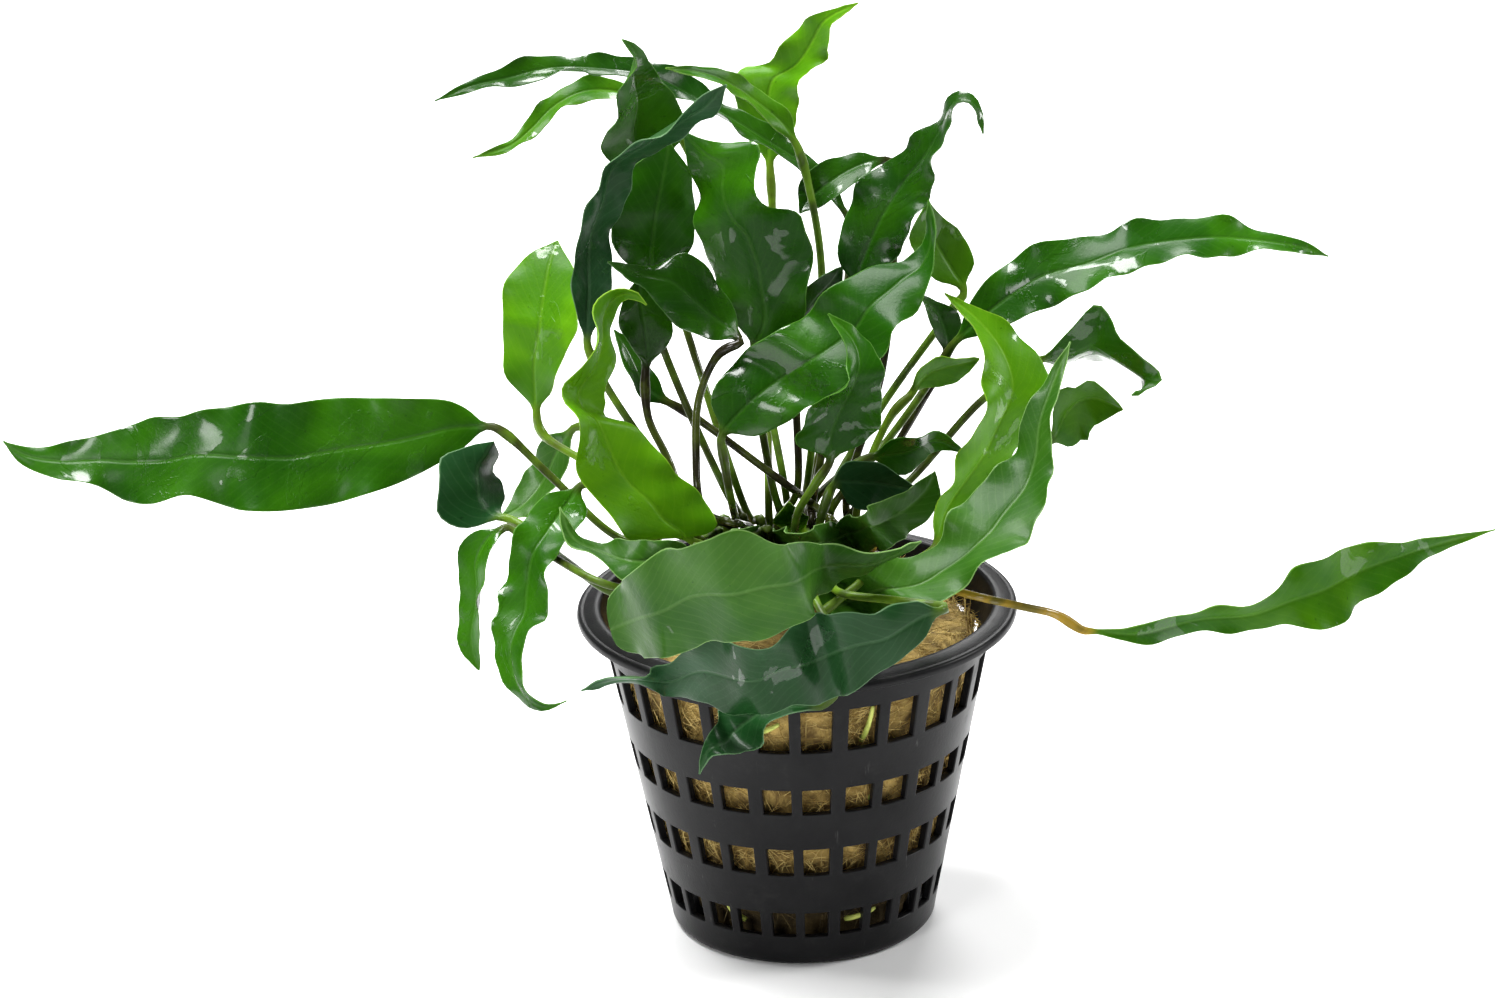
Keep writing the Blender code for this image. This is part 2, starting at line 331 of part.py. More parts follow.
class Leaf:
    """One leaf with its stalk, from its seat on the rhizome to its tip.

    left and right are board places of the two margins at equal steps; along the stalk
    they are a stalk's width apart.
    """

    def __init__(self, row):
        self.name, self.stalk, self.depths, self.lean, first, second = row
        outline = np.array(tuple(first) + tuple(reversed(second)), float)
        after = np.roll(outline, -1, axis=0)
        turn = float((outline[:, 0] * after[:, 1] - outline[:, 1] * after[:, 0]).sum())
        swap = turn > 0
        self.margins = (second, first) if swap else (first, second)
        self.lean = -self.lean if swap else self.lean
        self.length = (path_length(first) + path_length(second)) / 2

    def lay_out(self, seat, direction, stalk_step, blade_step):
        """Work out the margins from the seat, a place on the rhizome, to the tip."""
        blade_count = max(5, round(self.length / blade_step))
        share = np.linspace(0.0, 1.0, blade_count + 1)
        sides = [smooth_path(margin, share) for margin in self.margins]
        depth = np.interp(share, (0.0, 0.5, 1.0), self.depths)
        tilt = LEAN_SHARE * self.lean * np.sin(pi * share)
        left = stand_up(np.column_stack((sides[0], depth + tilt)))
        right = stand_up(np.column_stack((sides[1], depth - tilt)))
        start = to_board(np.array((seat, seat + SEAT_RISE * direction)))
        middle = (left + right) / 2
        route = np.vstack((start, stand_up(self.stalk), middle[:2]))
        stalk_count = max(3, round(path_length(route) / stalk_step))
        rungs = smooth_path(route, np.linspace(0.0, 1.0, stalk_count + 1))[:-1]
        self.left = np.vstack((rungs, left[1:]))
        self.right = np.vstack((rungs, right[1:]))
        self.stalk_count = len(rungs)

    def shift_near(self, shift):
        """Slide each step of the leaf along the line of sight."""
        self.left[:, 2] += shift
        self.right[:, 2] += shift

    def frame(self):
        """Middle, half-width direction and thickness direction of every step.

        On the blade the half-width direction runs from margin to margin; from the blade
        it is carried back down the stalk without twist.
        """
        left = on_board(self.left[:, 0], self.left[:, 1], self.left[:, 2])
        right = on_board(self.right[:, 0], self.right[:, 1], self.right[:, 2])
        middle = (left + right) / 2
        ahead = np.gradient(middle, axis=0)
        ahead /= np.linalg.norm(ahead, axis=1)[:, None]
        face = np.array((0.0, -cos(BOARD_TILT), sin(BOARD_TILT)))
        across = np.cross(ahead, face)
        across /= np.linalg.norm(across, axis=1)[:, None] + 1e-9
        half = (right - left) / 2
        width = np.linalg.norm(half, axis=1)
        blade = np.clip((width - 0.3) / 0.6, 0.0, 1.0)[:, None]
        heading = across * (1 - blade) + blade * half / (width[:, None] + 1e-9)
        heading /= np.linalg.norm(heading, axis=1)[:, None]
        for step in range(self.stalk_count - 1, -1, -1):
            carried = heading[step + 1]
            heading[step] = carried - ahead[step] * (carried @ ahead[step])
            heading[step] /= np.linalg.norm(heading[step])
        normal = np.cross(heading, ahead)
        normal /= np.linalg.norm(normal, axis=1)[:, None] + 1e-9
        return middle, heading, normal, width

    def rings(self):
        """Rings of places round the leaf: round on the stalk, lens-shaped on the blade."""
        middle, heading, normal, width = self.frame()
        steps = len(middle)
        blade = np.clip((np.arange(steps) - self.stalk_count + 1.5) / 3.0, 0.0, 1.0)
        run = np.linspace(0.0, 1.0, steps)
        thick = STALK_RADIUS * (1 - blade) + blade * BLADE_THICKNESS / 2
        thick = thick + (TIP_THICKNESS / 2 - thick) * blade * run**3
        half = np.maximum(width, STALK_RADIUS * (1 - blade) + blade * TIP_THICKNESS)
        angles = 2 * pi * np.arange(RING_SIDES) / RING_SIDES
        sides = half[:, None] * np.cos(angles)
        bulge = thick[:, None] * np.sin(angles)
        return (middle[:, None, :] + sides[..., None] * heading[:, None, :]
                + bulge[..., None] * normal[:, None, :])


def rhizome_frame(share):
    """Middle and radius of the rhizome at a share of its length."""
    middle = smooth_path(RHIZOME_POINTS, np.atleast_1d(share))
    radius = np.interp(share, np.linspace(0, 1, len(RHIZOME_RADII)), RHIZOME_RADII)
    return middle, radius


def seats(leaves):
    """Give every leaf its own place on the rhizome, in the order in which they spread."""
    order = sorted(leaves, key=lambda leaf: leaf.stalk[0][0])
    rows = len(SEAT_ROWS)
    columns = -(-len(order) // rows)
    places = {}
    for column in range(columns):
        group = order[column * rows:(column + 1) * rows]
        group.sort(key=lambda leaf: -leaf.stalk[0][2])
        for row, leaf in enumerate(group):
            share = 0.1 + 0.8 * (column + 0.5 * (row % 2)) / (columns - 0.5)
            middle, radius = rhizome_frame(share)
            angle = radians(SEAT_ROWS[row])
            out = np.array((0.12 * (share - 0.5), sin(angle), cos(angle)))
            out /= np.linalg.norm(out)
            places[leaf.name] = (middle[0] + out * (radius + SEAT_GAP), out)
    return places


def rim_marks():
    """Board places all round the pot's lip, which leaves also keep clear of."""
    angles = np.linspace(0, 2 * pi, 240, endpoint=False)
    marks = []
    for radius in np.linspace(MOUTH_RADIUS, RIM_RADIUS, 4):
        height = np.full(240, POT_HEIGHT - LIP_THICKNESS / 2)
        marks.append(np.column_stack((radius * np.cos(angles), radius * np.sin(angles), height)))
    return to_board(np.vstack(marks))


def settle(leaves):
    """Slide crossing leaves along the line of sight until they clear each other."""
    samples, owner, step, room, starts, offset = [], [], [], [], [], 0
    for index, leaf in enumerate(leaves):
        starts.append(offset)
        count = len(leaf.left)
        for part in (0.0, 0.25, 0.5, 0.75, 1.0):
            samples.append(leaf.left * (1 - part) + leaf.right * part)
            owner.append(np.full(count, index))
            step.append(offset + np.arange(count))
            blade = np.arange(count) >= leaf.stalk_count
            room.append(np.where(blade, BLADE_THICKNESS / 2 + BLADE_ROOM, STALK_RADIUS))
        offset += count
    marks = rim_marks()
    samples.append(marks)
    owner.append(np.full(len(marks), -1))
    step.append(np.full(len(marks), offset))
    room.append(np.full(len(marks), LIP_THICKNESS / 2 + LIP_ROOM))
    samples, owner = np.vstack(samples), np.concatenate(owner)
    step, room = np.concatenate(step), np.concatenate(room)
    tree = KDTree(len(samples))
    for index, (across, up, _) in enumerate(samples):
        tree.insert((across, up, 0.0), index)
    tree.balance()
    pairs = []
    for index, (across, up, _) in enumerate(samples):
        if owner[index] < 0:
            continue
        for _, other, _ in tree.find_range((across, up, 0.0), SETTLE_REACH):
            if owner[other] < owner[index]:
                pairs.append((index, other))
    pairs = np.array(pairs)
    one, two = pairs[:, 0], pairs[:, 1]
    couple = owner[one] * (len(leaves) + 1) + owner[two] + 1
    order = np.zeros(couple.max() + 1)
    np.add.at(order, couple, samples[one, 2] - samples[two, 2])
    sign = np.where(order[couple] >= 0, 1.0, -1.0)
    need = room[one] + room[two] + CLEARANCE
    free = np.ones(offset + 1)
    free[offset] = 0.0
    for begin in starts:
        free[begin:begin + 3] = (0.0, 0.35, 0.7)
    shift = np.zeros(offset + 1)
    for _ in range(SETTLE_ROUNDS):
        apart = sign * ((samples[one, 2] + shift[step[one]]) - (samples[two, 2] + shift[step[two]]))
        push = np.maximum(need - apart, 0.0) * SETTLE_PUSH
        forward, back = np.zeros(offset + 1), np.zeros(offset + 1)
        np.maximum.at(forward, step[one], np.where(sign > 0, push, 0.0))
        np.maximum.at(back, step[one], np.where(sign < 0, push, 0.0))
        np.maximum.at(forward, step[two], np.where(sign < 0, push, 0.0))
        np.maximum.at(back, step[two], np.where(sign > 0, push, 0.0))
        move = (forward - back) * free
        for index, begin in enumerate(starts):
            end = starts[index + 1] if index + 1 < len(starts) else offset
            move[begin:end] = soften(move[begin:end], 2)
        shift += move
    for index, leaf in enumerate(leaves):
        leaf.shift_near(shift[starts[index]:starts[index] + len(leaf.left)])


def thin_out(leaf, stalk_step, blade_step):
    """Keep fewer steps of a settled leaf, at about the given spacings."""
    middle = (leaf.left + leaf.right) / 2
    run = np.concatenate(((0.0,), np.cumsum(np.linalg.norm(np.diff(middle, axis=0), axis=1))))
    split = run[leaf.stalk_count]
    stalk = max(2, round(split / stalk_step))
    blade = max(5, round((run[-1] - split) / blade_step))
    wanted = np.concatenate((np.linspace(0, split, stalk + 1)[:-1], np.linspace(split, run[-1], blade + 1)))
    leaf.left = np.column_stack([np.interp(wanted, run, leaf.left[:, k]) for k in range(3)])
    leaf.right = np.column_stack([np.interp(wanted, run, leaf.right[:, k]) for k in range(3)])
    leaf.stalk_count = stalk


def clear_scene():
    for item in list(bpy.data.objects):
        bpy.data.objects.remove(item, do_unlink=True)


def material(name, colour, roughness):
    made = bpy.data.materials.new(name)
    made.use_nodes = True
    shader = made.node_tree.nodes["Principled BSDF"]
    shader.inputs["Base Color"].default_value = (*colour, 1.0)
    shader.inputs["Roughness"].default_value = roughness
    shader.inputs["Metallic"].default_value = 0.0
    return made


def add_object(name, vertices, faces, finish, smooth_angle=40.0):
    """Add a closed solid from places in millimetres."""
    mesh = bpy.data.meshes.new(name)
    mesh.from_pydata([Vector(v) * MM for v in vertices], [], faces)
    body = bmesh.new()
    body.from_mesh(mesh)
    bmesh.ops.recalc_face_normals(body, faces=body.faces)
    if body.calc_volume(signed=True) < 0:
        bmesh.ops.reverse_faces(body, faces=body.faces)
    body.to_mesh(mesh)
    body.free()
    mesh.materials.append(finish)
    mesh.shade_smooth()
    mesh.set_sharp_from_angle(angle=radians(smooth_angle))
    item = bpy.data.objects.new(name, mesh)
    bpy.context.scene.collection.objects.link(item)
    return item


def tube_faces(rings, sides):
    """Quads between rings, and a flat cap at each end."""
    faces = [tuple(reversed(range(sides))), tuple(range((rings - 1) * sides, rings * sides))]
    for ring in range(rings - 1):
        for side in range(sides):
            after = (side + 1) % sides
            faces.append((ring * sides + side, ring * sides + after,
                          (ring + 1) * sides + after, (ring + 1) * sides + side))
    return faces


def blade_faces(rings):
    """Triangles along a leaf, with the same diagonals on its upper and lower sides.

    A ring's corner 0 and its middle one are on the margins, so the two skins of a
    twisting blade stay apart.
    """
    middle = RING_SIDES // 2
    faces = [list(range(RING_SIDES))[::-1]]
    for ring in range(rings - 1):
        base = ring * RING_SIDES
        over = base + RING_SIDES
        for side in range(RING_SIDES):
            after = (side + 1) % RING_SIDES
            if side < middle:
                faces.append((base + side, base + after, over + after))
                faces.append((base + side, over + after, over + side))
            else:
                faces.append((base + side, base + after, over + side))
                faces.append((base + after, over + after, over + side))
    faces.append(list(range((rings - 1) * RING_SIDES, rings * RING_SIDES)))
    return faces


def wall_radius(height):
    """Outer radius of the tapered wall at a height."""
    return FOOT_RADIUS + (MOUTH_RADIUS + 0.5 - FOOT_RADIUS) * height / POT_HEIGHT


def build_pot(finish):
    """The tub, turned from a closed profile, with its windows left out of the walls."""
    levels = [z for row in WINDOW_ROWS for z in row]
    outer = [(0.0, 0.0), (FLOOR_SLOT[0], 0.0), (FLOOR_SLOT[1], 0.0),
             (FOOT_RADIUS - FOOT_ROUNDING, 0.0), (FOOT_RADIUS - 0.3, 0.5), (wall_radius(1.6), 1.6)]
    outer += [(wall_radius(z), z) for z in levels]
    lip = [(wall_radius(42.8), 42.8), (RIM_RADIUS - 0.4, POT_HEIGHT - LIP_THICKNESS - LIP_SLOPE),
           (RIM_RADIUS, POT_HEIGHT - LIP_SLOPE - 0.7), (RIM_RADIUS - 0.5, POT_HEIGHT - LIP_SLOPE),
           (MOUTH_RADIUS + 0.5, POT_HEIGHT), (MOUTH_RADIUS, POT_HEIGHT - 0.5)]
    inner = [(wall_radius(z) - WALL, z) for z in reversed(levels)]
    inner += [(wall_radius(FLOOR) - WALL, FLOOR), (FLOOR_SLOT[1], FLOOR), (FLOOR_SLOT[0], FLOOR),
              (0.0, FLOOR)]
    profile = outer + lip + inner
    find = {point: index for index, point in enumerate(profile)}
    openings = [(outer.index((FLOOR_SLOT[0], 0.0)), find[(FLOOR_SLOT[0], FLOOR)])]
    for low, high in WINDOW_ROWS:
        openings.append((find[(wall_radius(low), low)], find[(wall_radius(low) - WALL, low)]))
    pitch = 360.0 / WINDOW_PAIRS
    angles, is_window = [], []
    for pair in range(WINDOW_PAIRS):
        begin = FIRST_BAR_ANGLE + pair * pitch
        edges = (begin - NARROW_BAR_ANGLE / 2, begin + NARROW_BAR_ANGLE / 2,
                 begin + NARROW_BAR_ANGLE / 2 + WINDOW_ANGLE,
                 begin + pitch - NARROW_BAR_ANGLE / 2 - WINDOW_ANGLE)
        angles += [radians(edge) for edge in edges]
        is_window += [False, True, False, True]
    columns, rows = len(angles), len(profile)
    vertices = [(r * cos(angle), r * sin(angle), z) for r, z in profile[1:-1] for angle in angles]
    bottom, top = len(vertices), len(vertices) + 1
    vertices += [(0.0, 0.0, 0.0), (0.0, 0.0, FLOOR)]

    def corner(row, column):
        if row == 0:
            return bottom
        if row == rows - 1:
            return top
        return (row - 1) * columns + column % columns

    open_rows = {pair[0] for pair in openings} | {pair[1] - 1 for pair in openings}
    faces = []
    for row in range(rows - 1):
        for column in range(columns):
            if is_window[column] and row in open_rows:
                continue
            loop = (corner(row, column), corner(row, column + 1),
                    corner(row + 1, column + 1), corner(row + 1, column))
            faces.append(tuple(dict.fromkeys(loop)))
    for low_out, low_in in openings:
        for column in range(columns):
            if not is_window[column]:
                continue
            rim = [(low_out, column), (low_out, column + 1), (low_out + 1, column + 1), (low_out + 1, column)]
            back = [(low_in, column), (low_in, column + 1), (low_in - 1, column + 1), (low_in - 1, column)]
            for side in range(4):
                after = (side + 1) % 4
                faces.append((corner(*rim[side]), corner(*rim[after]), corner(*back[after]), corner(*back[side])))
    return add_object("net_pot", vertices, faces, finish, 30.0)


def build_plug(finish):
    """Mineral wool: a tapered plug with a low crown, clear of the wall and the floor."""
    gap = WALL + PLUG_CLEARANCE
    profile = [(wall_radius(FLOOR) - gap - 1.0, FLOOR + PLUG_FLOOR_GAP)]
    profile += [(wall_radius(height) - gap, height) for height in PLUG_LEVELS]
    profile.append((wall_radius(PLUG_EDGE_TOP) - gap - PLUG_EDGE_ROUNDING, PLUG_EDGE_TOP))
    profile += [(radius, PLUG_TOP - drop) for radius, drop in PLUG_CROWN]
    angles = 2 * pi * np.arange(PLUG_SIDES) / PLUG_SIDES
    vertices = [(r * cos(angle), r * sin(angle), z) for r, z in profile for angle in angles]
    return add_object("wool_plug", vertices, tube_faces(len(profile), PLUG_SIDES), finish)


def build_rhizome(finish):
    """A lumpy rounded stem lying on the wool."""
    share = np.linspace(0.0, 1.0, RHIZOME_RINGS)
    middle, radius = rhizome_frame(share)
    radius = radius * np.where(np.arange(RHIZOME_RINGS) % 2, *RHIZOME_LUMPS)
    radius[[0, -1]] = RHIZOME_END_RADII
    angles = 2 * pi * np.arange(RHIZOME_SIDES) / RHIZOME_SIDES
    ring = np.column_stack((np.zeros(RHIZOME_SIDES), np.cos(angles), np.sin(angles)))
    vertices = (middle[:, None, :] + radius[:, None, None] * ring).reshape(-1, 3)
    return add_object("rhizome", vertices, tube_faces(RHIZOME_RINGS, RHIZOME_SIDES), finish)


def build_leaf(leaf, finish):
    rings = leaf.rings()
    faces = blade_faces(len(rings))
    return add_object(leaf.name, rings.reshape(-1, 3), faces, finish, 60.0)


def build_leaves():
    finishes = {}
    for name, colour, roughness, members in GREENS:
        finishes.update(dict.fromkeys(members, material(name, colour, roughness)))
    leaves = [Leaf(row) for row in LEAVES]
    places = seats(leaves)
    for leaf in leaves:
        leaf.lay_out(*places[leaf.name], SETTLE_STEP, SETTLE_STEP)
    settle(leaves)
    for leaf in leaves:
        thin_out(leaf, STALK_RING_STEP, BLADE_RING_STEP)
        build_leaf(leaf, finishes[leaf.name])


clear_scene()
build_pot(material("charcoal_plastic", (0.025, 0.027, 0.028), 0.38))
build_plug(material("brown_wool", (0.24, 0.16, 0.08), 0.95))
build_rhizome(material("dark_rhizome", (0.06, 0.045, 0.025), 0.75))
build_leaves()
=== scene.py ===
"""Finishes and fine meshes for a potted water plant: a slotted tub, mineral wool, a
creeping stem and its long wavy leaves.

The tables are in millimetres and the scene is in metres, in the frame's own axes.
"""
import json
import logging
from dataclasses import dataclass, field
from enum import Enum
from math import cos, pi, radians, sin
from typing import Sequence

import bpy
import numpy as np
from mathutils import Matrix, Vector
from mathutils.kdtree import KDTree


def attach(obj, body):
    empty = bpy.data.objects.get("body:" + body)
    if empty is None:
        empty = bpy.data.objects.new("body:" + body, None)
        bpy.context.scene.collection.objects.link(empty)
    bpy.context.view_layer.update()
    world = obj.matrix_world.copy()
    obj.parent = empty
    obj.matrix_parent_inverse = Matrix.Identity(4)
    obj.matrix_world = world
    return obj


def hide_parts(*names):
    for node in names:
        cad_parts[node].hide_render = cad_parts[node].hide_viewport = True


LOG = logging.getLogger("plant")
MM = 0.001
MM_PER_REACH = 100.0
SOFT_EDGES = 75.0
ALL_SMOOTH = 180.0
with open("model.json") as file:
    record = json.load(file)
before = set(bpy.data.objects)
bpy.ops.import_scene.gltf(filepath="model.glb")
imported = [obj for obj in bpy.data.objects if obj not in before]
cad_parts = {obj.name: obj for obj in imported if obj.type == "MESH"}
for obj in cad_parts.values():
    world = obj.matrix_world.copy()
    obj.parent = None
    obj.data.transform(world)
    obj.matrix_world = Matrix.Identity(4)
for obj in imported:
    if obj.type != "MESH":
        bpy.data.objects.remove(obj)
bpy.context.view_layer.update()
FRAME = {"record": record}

SLOTS = {row["node"]: row["material_slot"] for row in FRAME["record"]["subparts"]}

# The board stands in the middle of the rim and leans back by its tilt, and the eye looks
# straight at it. Above RISE_START, every millimetre up brings a place nearer by RISE_NEAR.
POT_HEIGHT = 45.0
BOARD_TILT = radians(21.9)
EYE_DISTANCE = 658.0
RISE_START = 14.0
RISE_NEAR = 0.25
SEAT_RISE = 2.4
LEAN_SHARE = 0.85
VEIN_SLANT = 1.35
VEINS_PER_MM = 0.55
WET_ROUGHNESS = 0.16
WET_COAT = 0.6
FACE = np.array((0.0, -cos(BOARD_TILT), sin(BOARD_TILT)))
RISE = np.array((0.0, sin(BOARD_TILT), cos(BOARD_TILT)))
ACROSS = np.array((1.0, 0.0, 0.0))

